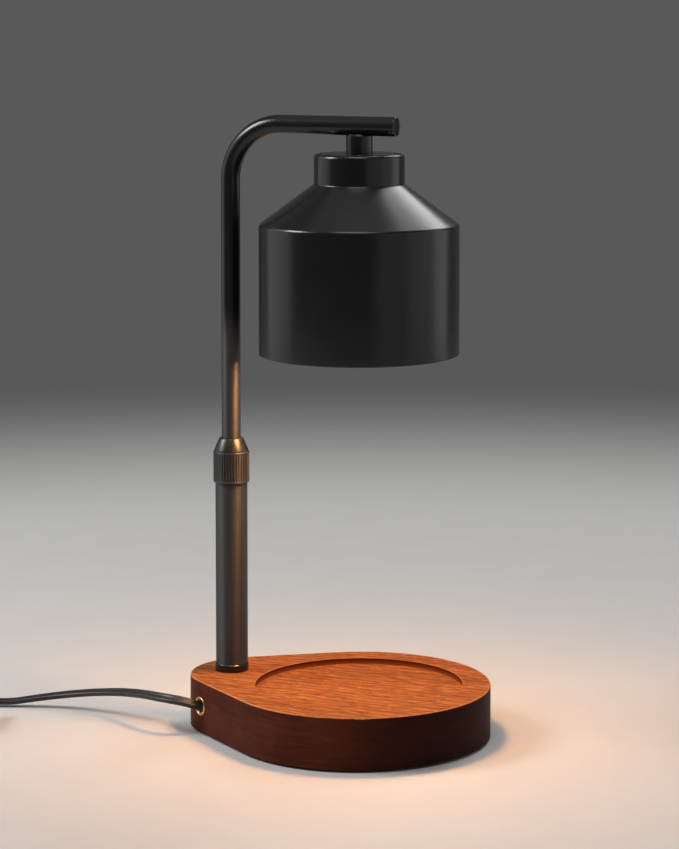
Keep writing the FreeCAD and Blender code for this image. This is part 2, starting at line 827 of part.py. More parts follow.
# ---------------------------------------------------------------------------------------------
# Pole
# ---------------------------------------------------------------------------------------------
def make_pole():
    """Lower tube, its foot ring, the threaded rod that bolts it down and the seat at its top."""
    inner = "pole_radius - pole_wall"
    turned("pole_foot", [
        ("rod_radius + rod_clearance", "base_top"),
        ("pole_foot_radius - 0.3", "base_top"),
        ("pole_foot_radius", "base_top + 0.3"),
        ("pole_foot_radius", "pole_bottom - 0.4"),
        ("pole_foot_radius - 0.4", "pole_bottom"),
        ("rod_radius + rod_clearance", "pole_bottom"),
    ], "pole_x")
    turned("lower_tube", sleeve("pole_radius", inner, "pole_bottom", "pole_top"), "pole_x")
    turned(
        "tube_plug",
        sleeve(inner, "rod_radius", "pole_bottom", "pole_bottom + plug_height"),
        "pole_x",
    )
    turned("threaded_rod", sleeve("rod_radius", "rod_bore_radius", "rod_bottom", "rod_top"), "pole_x")
    turned(
        "pole_washer",
        sleeve(
            "pole_washer_radius",
            "rod_radius + rod_clearance",
            "cavity_top - pole_washer_thickness",
            "cavity_top",
        ),
        "pole_x",
    )
    hexagon_nut(
        "pole_nut",
        "pole_nut_across",
        "rod_radius",
        "pole_nut_height",
        "pole_x",
        "cavity_top - pole_washer_thickness - pole_nut_height",
    )
    bore = "arm_radius + turning_gap"
    turned("collet_seat", [
        (bore, "seat_bottom"),
        (inner, "seat_bottom"),
        (inner, "pole_top"),
        ("pole_radius", "pole_top"),
        ("pole_radius", "seat_shoulder"),
        ("seat_thread_radius", "seat_shoulder"),
        ("seat_thread_radius", "seat_top"),
        ("collet_land_radius + turning_gap", "seat_top"),
        ("collet_toe_radius + turning_gap", "seat_top - seat_cup_depth"),
        (bore, "seat_top - seat_cup_depth"),
    ], "pole_x")


def make_clamp():
    """Split collet round the arm and the knurled nut that squeezes it."""
    bore = "arm_radius + running_gap / 2"
    collet = turned("clamp_collet", [
        (bore, "collet_bottom"),
        ("collet_toe_radius", "collet_bottom"),
        ("collet_land_radius", "seat_top"),
        ("collet_land_radius", "seat_top + 2"),
        ("collet_nose_radius", "collet_top"),
        (bore, "collet_top"),
    ], "pole_x")
    slit = new_sketch(collet, "XY_Plane", "slit", "collet_top + 1")
    draw_box(slit, "collet_land_radius * 2", "collet_slit", "-collet_land_radius", "0")
    pocket(collet, slit, "collet_length + 2")
    turned("clamp_nut", [
        ("pole_radius + 0.15", "nut_bottom"),
        ("nut_radius - 0.3", "nut_bottom"),
        ("nut_radius", "nut_bottom + 0.3"),
        ("nut_radius", "nut_knurl_top - 0.3"),
        ("nut_radius - 0.3", "nut_knurl_top"),
        ("nut_cone_radius", "nut_knurl_top"),
        ("nut_cone_radius", "nut_knurl_top + 0.5"),
        ("nut_nose_radius", "nut_top"),
        ("arm_radius + 0.25", "nut_top"),
        ("arm_radius + 0.25", "collet_top + turning_gap"),
        ("collet_nose_radius + turning_gap", "collet_top + turning_gap"),
        ("collet_land_radius + turning_gap", "seat_top + 2 + turning_gap"),
        ("collet_land_radius + turning_gap", "seat_top + 0.9"),
        ("seat_thread_radius + running_gap", "seat_top + 0.9"),
        ("seat_thread_radius + running_gap", "seat_shoulder + 0.2"),
        ("pole_radius + 0.15", "seat_shoulder + 0.2"),
    ], "pole_x")


# ---------------------------------------------------------------------------------------------
# Arm
# ---------------------------------------------------------------------------------------------
def make_arm():
    """Thin tube that slides in the pole and bends over the base, with its end pieces."""
    body = new_body("bent_arm")
    path = new_sketch(body, "XZ_Plane", "path")
    low, high = val("arm_bottom"), val("arm_height")
    bend, reach = val("arm_bend_radius"), val("arm_reach - arm_cap_thickness")
    centre = Vector(bend, high - bend, 0)
    path.addGeometry(
        [
            Part.LineSegment(Vector(0, low, 0), Vector(0, high - bend, 0)),
            Part.ArcOfCircle(Part.Circle(centre, Vector(0, 0, 1), bend), math.pi / 2, math.pi),
            Part.LineSegment(Vector(bend, high, 0), Vector(reach, high, 0)),
        ],
        False,
    )
    path.addConstraint(Sketcher.Constraint("Tangent", 0, 2, 1, 2))
    path.addConstraint(Sketcher.Constraint("Tangent", 1, 1, 2, 1))
    path.addConstraint(Sketcher.Constraint("Vertical", 0))
    at = path.addConstraint(Sketcher.Constraint("Radius", 1, bend))
    tie(path, f"Constraints[{at}]", "arm_bend_radius")
    pin_point(path, 0, 1, "0", "arm_bottom")
    pin_point(path, 2, 2, "arm_reach - arm_cap_thickness", "arm_height")
    path.addConstraint(Sketcher.Constraint("Horizontal", 2))
    section = new_sketch(body, "XY_Plane", "section", "arm_bottom")
    draw_circle(section, "arm_radius")
    draw_circle(section, "arm_bore_radius")
    sweep = body.newObject("PartDesign::AdditivePipe", "bent_arm_sweep")
    sweep.Profile = section
    sweep.Spine = (path, [])
    lead_hole = new_sketch(body, "XY_Plane", "lead_hole", "arm_height")
    draw_circle(lead_hole, "nipple_bore_radius + 0.4", "shade_reach", "0")
    pocket(body, lead_hole, "arm_radius + 1")
    place(body, "pole_x")
    turned("guide_bush", [
        ("arm_radius", "bush_bottom"),
        ("pole_radius - pole_wall - running_gap - 0.4", "bush_bottom"),
        ("pole_radius - pole_wall - running_gap", "bush_bottom + 0.4"),
        ("pole_radius - pole_wall - running_gap", "bush_top - 0.4"),
        ("pole_radius - pole_wall - running_gap - 0.4", "bush_top"),
        ("arm_radius", "bush_top"),
    ], "pole_x")
    turned("arm_end_cap", [
        ("0", "-arm_cap_spigot"),
        ("arm_bore_radius", "-arm_cap_spigot"),
        ("arm_bore_radius", "0"),
        ("arm_radius", "0"),
        ("arm_radius", "arm_cap_thickness - arm_cap_bevel"),
        ("arm_radius - arm_cap_bevel", "arm_cap_thickness"),
        ("0", "arm_cap_thickness"),
    ], "pole_x + arm_reach - arm_cap_thickness", "0", "arm_height", Rotation(Vector(0, 1, 0), 90))


def make_stem():
    """Stem under the arm, saddled to the tube, and the hollow rod that carries the shade."""
    body = turned("shade_stem", sleeve("stem_radius", "nipple_radius", "shade_top", "stem_top"))
    top = val("stem_top")
    radius = val("stem_radius")
    round_edges(body, "stem_chamfer", lambda e: ring_edge(e, radius, top), "bevel", chamfer=True)
    saddle = Vector(-radius - 1, 0, val("arm_height"))
    drill(body, "saddle", "arm_radius", "2 * stem_radius + 2", saddle, Vector(1, 0, 0))
    place(body, "shade_x")
    turned(
        "shade_nipple",
        sleeve("nipple_radius", "nipple_bore_radius", "nipple_bottom", "shade_top + nipple_grip"),
        "shade_x",
    )


# ---------------------------------------------------------------------------------------------
# Shade and lamp holder
# ---------------------------------------------------------------------------------------------
def make_shade():
    """Spun metal shade: neck, cone and straight skirt in one wall, with vents round its nipple."""
    slope = "sqrt(cone_height ^ 2 + (skirt_radius - neck_radius) ^ 2)"
    shift = f"(skirt_radius - neck_radius) / ({slope} + cone_height)"
    body = turned("shade", [
        ("nipple_radius + nipple_gap", "shade_top"),
        ("nipple_radius + nipple_gap", "shade_inside"),
        ("neck_radius - shade_wall", "shade_inside"),
        ("neck_radius - shade_wall", f"neck_bottom - shade_wall * ({shift})"),
        ("skirt_radius - shade_wall", f"shoulder_height - shade_wall * ({shift})"),
        ("skirt_radius - shade_wall", "rim_height"),
        ("skirt_radius", "rim_height"),
        ("skirt_radius", "shoulder_height"),
        ("neck_radius", "neck_bottom"),
        ("neck_radius", "shade_top"),
    ], "shade_x")
    outer = [(val("neck_radius"), val("shade_top")), (val("skirt_radius"), val("shoulder_height"))]
    round_edges(
        body, "spin_round", lambda e: any(ring_edge(e, r, z) for r, z in outer), "corners"
    )
    doc.recompute()
    rim = val("rim_height")
    inner_rim = val("skirt_radius - shade_wall")
    rims = (val("skirt_radius"), inner_rim)
    round_edges(body, "rim_round", lambda e: any(ring_edge(e, r, rim) for r in rims), "rim")
    vent = new_sketch(body, "XY_Plane", "vent", "shade_top + 1")
    draw_circle(vent, "vent_radius", "vent_ring_radius * cos(22.5)", "vent_ring_radius * sin(22.5)")
    repeat_round(body, pocket(body, vent, "shade_wall + 2"), vent, "vent_count")
    turned(
        "shade_washer",
        sleeve("shade_washer_radius", "nipple_radius + nipple_gap", "washer_bottom", "bracket_bottom"),
        "shade_x",
    )
    hexagon_nut(
        "shade_nut",
        "shade_nut_across",
        "nipple_radius",
        "shade_nut_height",
        "shade_x",
        "washer_bottom - shade_nut_height",
    )


def make_bracket():
    """Bent steel strap between the shade's top and the lamp holder."""
    body = new_body("holder_bracket")
    out, inn = "bracket_half_span", "bracket_half_span - bracket_thickness"
    toe = "bracket_half_span - bracket_foot"
    low, foot = "holder_top", "holder_top + bracket_thickness"
    roof, top = "bracket_bottom", "shade_inside"
    side = new_sketch(body, "XZ_Plane", "side", "-bracket_width / 2")
    draw_outline(side, [
        (f"-({out})", low), (f"-({toe})", low), (f"-({toe})", foot), (f"-({inn})", foot),
        (f"-({inn})", roof), (inn, roof), (inn, foot), (toe, foot), (toe, low), (out, low),
        (out, top), (f"-({out})", top),
    ])
    pad(body, side, "bracket_width")
    holes = new_sketch(body, "XY_Plane", "nipple_hole", "shade_inside")
    draw_circle(holes, "nipple_radius + nipple_gap")
    pocket(body, holes, "bracket_thickness + 0.5")
    feet = new_sketch(body, "XY_Plane", "screw_holes", foot)
    for at in ("-holder_screw_at", "holder_screw_at"):
        draw_circle(feet, "screw_radius + 0.1", at, "0")
    pocket(body, feet, "bracket_thickness")
    return place(body, "shade_x")


def make_holder():
    """Ceramic lamp holder with two curved slots for the bulb's pins, its contacts and screws."""
    body = turned("lamp_holder", [
        ("0", "holder_bottom"),
        ("holder_radius - 0.8", "holder_bottom"),
        ("holder_radius", "holder_bottom + 0.8"),
        ("holder_radius", "holder_top - 0.8"),
        ("holder_radius - 0.8", "holder_top"),
        ("0", "holder_top"),
    ])
    slot_flat = new_sketch(body, "XZ_Plane", "slot_section")
    half = "pin_radius + pin_clearance"
    draw_outline(slot_flat, [
        (f"pin_spread - ({half})", "holder_bottom"),
        (f"pin_spread + ({half})", "holder_bottom"),
        (f"pin_spread + ({half})", "contact_bottom"),
        (f"pin_spread - ({half})", "contact_bottom"),
    ])
    swing = math.degrees(math.asin(val(half) / val("pin_spread"))) * 1.05
    for first in (90, 270):
        doc.recompute()
        before = body.Shape.Volume
        slot = body.newObject("PartDesign::Groove", f"pin_slot_{first}")
        slot.Profile = slot_flat
        slot.ReferenceAxis = (slot_flat, ["V_Axis"])
        slot.Type = "TwoAngles" if "TwoAngles" in slot.getEnumerationsOfProperty("Type") else 0
        slot.Angle = first + swing
        slot.Angle2 = -(first - swing - TWIST)
        doc.recompute()
        if not body.Shape.Volume < before - 1e-3:
            raise RuntimeError("a pin slot cuts nothing")
    wires = new_sketch(body, "XY_Plane", "wires", "holder_top")
    for at in ("-lead_offset", "lead_offset"):
        draw_circle(wires, "lead_radius + 0.04", "0", at)
    pocket(body, wires, "holder_top - contact_bottom - contact_height")
    wells = new_sketch(body, "XY_Plane", "wells", "contact_bottom + contact_height")
    for side in ("-1", "1"):
        draw_box(wells, "contact_width", "pin_spread + 1.4", "0", f"{side} * (pin_spread / 2 + 1.4)")
    pocket(body, wells, "contact_height")
    holes = new_sketch(body, "XY_Plane", "screw_holes", "holder_top")
    for at in ("-holder_screw_at", "holder_screw_at"):
        draw_circle(holes, "screw_radius", at, "0")
    pocket(body, holes, "holder_screw_length")
    place(body, "shade_x")
    contacts = []
    for side in ("-1", "1"):
        contact = doc.addObject("Part::Box", f"contact_{'a' if side == '1' else 'b'}")
        tie(contact, "Length", "contact_width")
        tie(contact, "Width", "pin_spread + 1.4")
        tie(contact, "Height", "contact_height")
        middle = f"{side} * (pin_spread / 2 + 1.4) - (pin_spread + 1.4) / 2"
        contacts.append(place(contact, "shade_x - contact_width / 2", middle, "contact_bottom"))
    group("holder_contacts", contacts)
    head = "holder_top + bracket_thickness"
    shape = screw_outline("screw_head_radius", "2", "screw_radius", "holder_screw_length", "0.8")
    screws = [
        turned(
            f"holder_screw_{name}",
            shape,
            f"shade_x {sign} holder_screw_at",
            "0",
            f"{head} + 2",
            Rotation(Vector(1, 0, 0), 180),
        )
        for name, sign in (("a", "+"), ("b", "-"))
    ]
    group("holder_screws", screws)


# The bulb locks in and out of its holder over this many degrees.
TWIST = 35.0


def make_bulb():
    """Reflector bulb: ceramic foot, coated glass reflector, clear front lens, capsule and pins."""
    turned("bulb_foot", [
        ("0", "bulb_waist - 1.5"),
        ("bulb_base_radius - 1", "bulb_waist - 1.5"),
        ("bulb_base_radius - 1", "bulb_waist"),
        ("bulb_base_radius + 0.6", "bulb_waist"),
        ("bulb_base_radius", "bulb_top - 0.8"),
        ("bulb_base_radius - 0.8", "bulb_top"),
        ("0", "bulb_top"),
    ], "shade_x")
    rim_top = "bulb_bottom + bulb_rim_height"
    flare = [(0.3, 0.50), (0.62, 0.78), (0.85, 0.93)]
    depth = f"(bulb_waist - {rim_top})"
    spread = "(bulb_radius - bulb_base_radius - 0.6)"
    outside = [
        (f"bulb_base_radius + 0.6 + {wide} * {spread}", f"bulb_waist - {deep} * {depth}")
        for deep, wide in flare
    ]
    inside = [(f"{r} - glass_wall", f"{z} - 0.3") for r, z in reversed(outside)]
    turned("bulb_reflector", [
        ("bulb_base_radius - 1", "bulb_waist"),
        ("bulb_base_radius + 0.6", "bulb_waist"),
        *outside,
        ("bulb_radius", rim_top),
        ("bulb_radius", "bulb_bottom"),
        ("bulb_radius - glass_wall", "bulb_bottom"),
        ("bulb_radius - glass_wall", f"{rim_top} - 0.3"),
        *inside,
        ("bulb_base_radius - 1", "bulb_waist - 1.5"),
    ], "shade_x")
    turned("bulb_lens", [
        ("0", "bulb_bottom + 0.4"),
        ("bulb_radius - glass_wall", "bulb_bottom + 0.4"),
        ("bulb_radius - glass_wall", "bulb_bottom + 0.4 + lens_thickness"),
        ("0", "bulb_bottom + 0.4 + lens_thickness"),
    ], "shade_x")
    turned("bulb_capsule", [
        ("0", "bulb_waist - 1.5 - capsule_length"),
        ("capsule_radius - 1.5", "bulb_waist - 1.5 - capsule_length"),
        ("capsule_radius", "bulb_waist - 3 - capsule_length + 1.5"),
        ("capsule_radius", "bulb_waist - 1.5"),
        ("0", "bulb_waist - 1.5"),
    ], "shade_x")
    pins = [
        turned(
            f"bulb_pin_{name}",
            [
                ("0", "bulb_top"),
                ("pin_neck_radius", "bulb_top"),
                ("pin_neck_radius", "bulb_top + pin_length - pin_head_height"),
                ("pin_radius", "bulb_top + pin_length - pin_head_height"),
                ("pin_radius", "bulb_top + pin_length"),
                ("0", "bulb_top + pin_length"),
            ],
            "shade_x",
            f"{sign} * pin_spread",
        )
        for name, sign in (("a", "1"), ("b", "-1"))
    ]
    group("bulb_pins", pins)


def make_leads():
    """Two heat-proof leads: up the pole, round the arm's bend and down to the contacts."""
    radius, offset = val("lead_radius"), val("lead_offset")
    bend, high = val("arm_bend_radius"), val("arm_height")
    drop = 4.0
    up = Vector(0, 0, 1)
    risers, runs = [], []
    for side in (-1, 1):
        y = side * offset
        low = Vector(POLE.x, y, val("rod_bottom + lead_start"))
        risers.append(Part.makeCylinder(radius, val("arm_bottom") - low.z, low, up))
        start = Vector(POLE.x, y, val("arm_bottom"))
        bend_start = Vector(POLE.x, y, high - bend)
        bend_end = Vector(POLE.x + bend, y, high)
        halfway = bend * math.sqrt(0.5)
        bend_middle = Vector(POLE.x + bend - halfway, y, high - bend + halfway)
        turn_start = Vector(SHADE.x - drop, y, high)
        turn_end = Vector(SHADE.x, y, high - drop)
        sink = drop * math.sqrt(0.5)
        turn_middle = Vector(SHADE.x - drop + sink, y, high - drop + sink)
        end = Vector(SHADE.x, y, val("contact_bottom + contact_height"))
        wire = Part.Wire(
            [
                Part.LineSegment(start, bend_start).toShape(),
                Part.Arc(bend_start, bend_middle, bend_end).toShape(),
                Part.LineSegment(bend_end, turn_start).toShape(),
                Part.Arc(turn_start, turn_middle, turn_end).toShape(),
                Part.LineSegment(turn_end, end).toShape(),
            ]
        )
        sweep = Part.BRepOffsetAPI.MakePipeShell(wire)
        sweep.add(Part.Wire([Part.Circle(start, up, radius).toShape()]))
        sweep.build()
        sweep.makeSolid()
        runs.append(
            checked_sweep(sweep.shape(), math.pi * radius**2, wire.Length, f"arm lead {side}")
        )
    shaped("riser_leads", risers)
    shaped("arm_leads", runs)


# ---------------------------------------------------------------------------------------------
# Cord with its dimmer, coil and plug
# ---------------------------------------------------------------------------------------------
def from_pole(x, y, z):
    """A point of the cord's route, measured from the pole's axis on the table."""
    return Vector(POLE.x + x, y, z)


FLOOR_GAP = 0.1
LYING = val("cord_thickness") / 2 + FLOOR_GAP
COIL_TOP = f"(cord_thickness + coil_layer_pitch + {FLOOR_GAP})"
DIMMER_HEADING = 200.0
DIMMER_ENTRY = from_pole(-150.0, -32.0, val("dimmer_split"))
DIMMER_TURN = Rotation(Vector(0, 0, 1), DIMMER_HEADING)
DIMMER_AXIS = DIMMER_TURN.multVec(Vector(1, 0, 0))
DIMMER_MIDDLE = DIMMER_ENTRY + DIMMER_AXIS * val("sleeve_length + dimmer_long / 2")
DIMMER_EXIT = DIMMER_ENTRY + DIMMER_AXIS * val("2 * sleeve_length + dimmer_long")
COIL_MIDDLE = from_pole(-143.0, -89.0, 0.0)
PLUG_HEADING = 100.0
PLUG_TAIL = from_pole(-115.0, -88.0, 0.0)
PLUG_TURN = Rotation(Vector(0, 0, 1), PLUG_HEADING)
PLUG_AXIS = PLUG_TURN.multVec(Vector(1, 0, 0))


def coil_point(degrees, reach, z):
    return away(COIL_MIDDLE, reach, degrees, z)


def make_cord():
    """The free cord: base to dimmer, dimmer to coil, the coil as one ring, and coil to plug."""
    inside = cord_level_inside()
    tucked = val("sleeve_length") + 1.5
    outlet = OUTLET + OUTWARD * val("eyelet_lip")
    first = [
        Vector(CORD_END.x, CORD_END.y, inside),
        away(CLAMP_AT, -4.5, CLAMP_HEADING, inside),
        OUTLET - OUTWARD * 10.5,
        outlet,
        from_pole(-8.6, -31.8, 16.4),
        from_pole(-14.7, -33.9, 17.6),
        from_pole(-23.6, -32.4, 17.6),
        from_pole(-36.2, -26.2, 16.4),
        from_pole(-51.5, -18.8, 14.1),
        from_pole(-69.0, -13.2, 11.0),
        from_pole(-87.0, -11.2, 7.7),
        from_pole(-104.0, -14.0, 4.7),
        from_pole(-120.0, -20.0, 1.9),
        from_pole(-135.2, -26.6, 4.2),
        DIMMER_ENTRY,
        DIMMER_ENTRY + DIMMER_AXIS * tucked,
    ]
    shaped("power_cord", [flat_cord(first, "power cord")])
    outer = val("coil_ring_radius") + val("cord_width") * (val("coil_columns") - 1) / 2
    second = [
        DIMMER_EXIT - DIMMER_AXIS * tucked,
        DIMMER_EXIT,
        from_pole(-216.6, -57.6, 5.6),
        from_pole(-222.8, -65.6, 3.3),
        from_pole(-224.4, -77.2, 1.9),
        from_pole(-219.8, -88.6, LYING + 0.1),
        from_pole(-209.8, -97.8, LYING),
        from_pole(-196.6, -104.8, LYING + 0.1),
        from_pole(-182.0, -111.4, LYING),
        from_pole(-167.2, -117.2, LYING + 0.1),
        coil_point(254.0, outer, LYING),
    ]
    shaped("plug_cord", [flat_cord(second, "plug cord")])
    upper = LYING + val("coil_layer_pitch")
    third = [
        coil_point(292.0, outer, upper),
        coil_point(308.0, outer - 0.3, upper + 0.7),
        coil_point(326.0, outer - 1.2, upper + 3.2),
        PLUG_TAIL - PLUG_AXIS * 9.0 + Vector(0, 0, plug_level()),
        PLUG_TAIL + Vector(0, 0, plug_level()),
    ]
    shaped("plug_tail", [flat_cord(third, "plug tail")])
    half_band = "coil_columns * cord_width / 2"
    coil_top = COIL_TOP
    coil = turned("cord_coil", [
        (f"coil_ring_radius - {half_band}", "1.2"),
        (f"coil_ring_radius - {half_band} + 1.1", "0.1"),
        (f"coil_ring_radius + {half_band} - 1.1", "0.1"),
        (f"coil_ring_radius + {half_band}", "1.2"),
        (f"coil_ring_radius + {half_band}", f"{coil_top} - 1.1"),
        (f"coil_ring_radius + {half_band} - 1.1", coil_top),
        (f"coil_ring_radius - {half_band} + 1.1", coil_top),
        (f"coil_ring_radius - {half_band}", f"{coil_top} - 1.1"),
    ])
    coil.Placement.Base = COIL_MIDDLE
    return coil


def plug_level():
    """Height of the plug's middle, lying on the coil."""
    return val(f"{COIL_TOP} + {FLOOR_GAP} + plug_thick / 2")


def make_dimmer():
    """In-line rotary dimmer: two shells, board, potentiometer, shaft, knob, sleeves and screws."""
    pieces = []

    def shell(label, bottom, height, floor_low, opening_up):
        body = new_body(label)
        block = new_sketch(body, "XY_Plane", "block", bottom)
        draw_box(block, "dimmer_long", "dimmer_wide")
        pad(body, block, height)
        corner = val("dimmer_long") / 2
        round_edges(
            body,
            "dimmer_corner",
            lambda e: e.BoundBox.ZLength > 1 and abs(abs(e.BoundBox.Center.x) - corner) < 0.01,
            "corners",
        )
        hollow = new_sketch(body, "XY_Plane", "hollow", floor_low)
        draw_box(hollow, "dimmer_long - 2 * dimmer_wall", "dimmer_wide - 2 * dimmer_wall - 4")
        draw_hollow_depth = f"{height} - dimmer_wall"
        pocket(body, hollow, draw_hollow_depth, upwards=opening_up)
        return body

    base = shell("dimmer_base", "0.1", "dimmer_split - 0.1", "dimmer_wall + 0.1", True)
    posts = new_sketch(base, "XY_Plane", "posts", "dimmer_wall")
    for at in ("-dimmer_post_at", "dimmer_post_at"):
        draw_circle(posts, "dimmer_post_radius", at, "6")
    pad(base, posts, "dimmer_split - dimmer_wall")
    ribs = new_sketch(base, "XY_Plane", "ribs", "dimmer_wall")
    for at in ("-board_long / 3", "board_long / 3"):
        draw_box(ribs, "2", "board_wide - 3", at, "0")
    pad(base, ribs, "dimmer_rib + 0.1")
    screw_holes = new_sketch(base, "XY_Plane", "screw_holes", "0.1")
    for at in ("-dimmer_post_at", "dimmer_post_at"):
        draw_circle(screw_holes, "dimmer_screw_radius + 0.1", at, "6")
    pocket(base, screw_holes, "dimmer_split", upwards=True)
    heads = new_sketch(base, "XY_Plane", "heads", "0.1")
    for at in ("-dimmer_post_at", "dimmer_post_at"):
        draw_circle(heads, "dimmer_post_radius - 0.4", at, "6")
    pocket(base, heads, "1.1", upwards=True)
    cover = shell(
        "dimmer_cover", "dimmer_split", "dimmer_high - dimmer_split", "dimmer_high - dimmer_wall", False
    )
    bosses = new_sketch(cover, "XY_Plane", "bosses", "dimmer_split")
    for at in ("-dimmer_post_at", "dimmer_post_at"):
        draw_circle(bosses, "dimmer_post_radius", at, "6")
    pad(cover, bosses, "dimmer_high - dimmer_split - dimmer_wall")
    pilots = new_sketch(cover, "XY_Plane", "pilots", "dimmer_split")
    for at in ("-dimmer_post_at", "dimmer_post_at"):
        draw_circle(pilots, "dimmer_screw_radius", at, "6")
    pocket(cover, pilots, "5", upwards=True)
    mouth = new_sketch(cover, "XY_Plane", "mouth", "dimmer_high")
    draw_circle(mouth, "bushing_radius + 0.1")
    pocket(cover, mouth, "dimmer_wall + 1")
    end = Vector(-val("dimmer_long") / 2 - 1, 0, val("dimmer_split"))
    for half in (base, cover):
        drill(half, "cord_way", "sleeve_tip_radius", "dimmer_long + 2", end, Vector(1, 0, 0))
    top = val("dimmer_high")
    half_long = val("dimmer_long") / 2 - 0.5

    def crown(edge):
        box = edge.BoundBox
        outside = max(abs(box.XMin), abs(box.XMax)) > half_long or (
            max(abs(box.YMin), abs(box.YMax)) > val("dimmer_wide") / 2 - 0.5
        )
        return level(edge, top) and outside

    round_edges(cover, "1.2", crown, "crown")
    pieces += [base, cover]
    board = doc.addObject("Part::Box", "dimmer_board")
    board.Label = "dimmer_board"
    tie(board, "Length", "board_long")
    tie(board, "Width", "board_wide - 3")
    tie(board, "Height", "board_thickness")
    pieces.append(board)
    board_level = "dimmer_wall + dimmer_rib + 0.1"
    board_top = f"{board_level} + board_thickness"
    pot = turned("dimmer_pot", [
        ("shaft_radius + running_gap", f"{board_top} + 0.8"),
        ("0", f"{board_top} + 0.8"),
        ("0", board_top),
        ("pot_radius", board_top),
        ("pot_radius", f"{board_top} + pot_height"),
        ("bushing_radius", f"{board_top} + pot_height"),
        ("bushing_radius", "dimmer_high"),
        ("shaft_radius + running_gap", "dimmer_high"),
    ])
    shaft = turned("dimmer_shaft", [
        ("0", f"{board_top} + 0.9"),
        ("shaft_radius", f"{board_top} + 0.9"),
        ("shaft_radius", "dimmer_high + knob_gap + knob_height - 2"),
        ("0", "dimmer_high + knob_gap + knob_height - 2"),
    ])
    knob_low = "dimmer_high + knob_gap"
    knob = turned("dimmer_knob", [
        ("0", f"{knob_low} + knob_height - 2"),
        ("shaft_radius", f"{knob_low} + knob_height - 2"),
        ("shaft_radius", knob_low),
        ("knob_radius", knob_low),
        ("knob_radius - 0.4", f"{knob_low} + knob_height - 0.8"),
        ("knob_radius - 1.2", f"{knob_low} + knob_height"),
        ("0", f"{knob_low} + knob_height"),
    ])
    pointer = new_sketch(knob, "XY_Plane", "pointer", f"{knob_low} + knob_height")
    draw_box(pointer, "1.2", "knob_radius / 2", "0", "knob_radius * 0.55")
    pocket(knob, pointer, "0.5")
    pieces += [pot, shaft, knob]
    sleeves = []
    for name, way in (("in", -1), ("out", 1)):
        outline = [
            ("cord_width / 2 + 0.15", "-sleeve_in"),
            ("sleeve_tip_radius", "-sleeve_in"),
            ("sleeve_tip_radius", "0"),
            ("sleeve_radius", "0"),
            ("sleeve_tip_radius", "sleeve_length"),
            ("cord_width / 2 + 0.15", "sleeve_length"),
        ]
        collar = turned(f"dimmer_sleeve_{name}", outline)
        tip = DIMMER_MIDDLE + DIMMER_AXIS * (way * val("dimmer_long") / 2)
        tip.z = val("dimmer_split")
        collar.Placement = Placement(tip, Rotation(Vector(0, 0, 1), DIMMER_AXIS * way))
        sleeves.append(collar)
    group("dimmer_sleeves", sleeves)
    screws = []
    for name, at in (("a", -1), ("b", 1)):
        outline = screw_outline("dimmer_post_radius - 0.5", "1", "dimmer_screw_radius", "9.5", "1")
        screw = turned(f"dimmer_screw_{name}", outline)
        spot = DIMMER_TURN.multVec(Vector(at * val("dimmer_post_at"), 6, 0.2))
        screw.Placement = Placement(
            Vector(DIMMER_MIDDLE.x, DIMMER_MIDDLE.y, 0) + spot, DIMMER_TURN
        )
        screws.append(screw)
    group("dimmer_screws", screws)
    middle = Vector(DIMMER_MIDDLE.x, DIMMER_MIDDLE.y, 0)
    for piece in pieces:
        piece.Placement = Placement(middle, DIMMER_TURN)
    corner = Vector(-val("board_long") / 2, -val("board_wide - 3") / 2, val(board_level))
    board.Placement = Placement(middle + DIMMER_TURN.multVec(corner), DIMMER_TURN)


def make_plug():
    """Moulded two-blade plug lying on the coil."""
    turn = PLUG_TURN
    start = Vector(PLUG_TAIL.x, PLUG_TAIL.y, plug_level())
    body = new_body("plug_body")
    plan = new_sketch(body, "XY_Plane", "plan", "-plug_thick / 2")
    draw_box(plan, "plug_long", "plug_wide", "plug_neck + plug_long / 2", "0")
    pad(body, plan, "plug_thick")
    round_edges(body, "plug_corner", lambda e: e.BoundBox.ZLength > 1, "corners")
    neck = new_sketch(body, "YZ_Plane", "neck")
    draw_circle(neck, "plug_neck_radius")
    pad(body, neck, "plug_neck + 1")
    body.Placement = Placement(start, turn)
    blades = []
    for side in (-1, 1):
        blade = doc.addObject("Part::Box", f"blade_{side + 2}")
        tie(blade, "Length", "blade_length")
        tie(blade, "Width", "blade_thickness")
        tie(blade, "Height", "blade_height")
        corner = Vector(
            val("plug_neck + plug_long"),
            side * val("blade_spread") / 2 - val("blade_thickness") / 2,
            -val("blade_height") / 2,
        )
        blade.Placement = Placement(start + turn.multVec(corner), turn)
        blades.append(blade)
    group("plug_blades", blades)


# ---------------------------------------------------------------------------------------------
# Build, check and write
# ---------------------------------------------------------------------------------------------
def build():
    make_wood_base()
    make_ballast_plate()
    make_plate_fixings()
    make_outlet()
    make_cord_clamp()
    make_wiring()
    make_pole()
    make_clamp()
    make_arm()
    make_stem()
    make_shade()
    make_bracket()
    make_holder()
    make_bulb()
    make_leads()
    make_cord()
    make_dimmer()
    make_plug()
    doc.recompute()


def nodes():
    """The labelled sub-parts: every body, group and shaped piece that no other one holds."""
    held = {link.Name for o in doc.Objects if o.TypeId == "Part::Compound" for link in o.Links}
    kinds = ("PartDesign::Body", "Part::Compound", "Part::Feature", "Part::Box")
    return [o for o in doc.Objects if o.TypeId in kinds and o.Name not in held]


def check(pieces):
    """Stop at any failed feature or unsound shape."""
    for item in doc.Objects:
        if {"Invalid", "Error"} & set(item.State):
            raise RuntimeError(f"{item.Name} failed: {item.State}")
    for piece in pieces:
        if piece.Shape.isNull() or not piece.Shape.isValid() or not piece.Shape.Solids:
            raise RuntimeError(f"{piece.Label} has no sound shape")


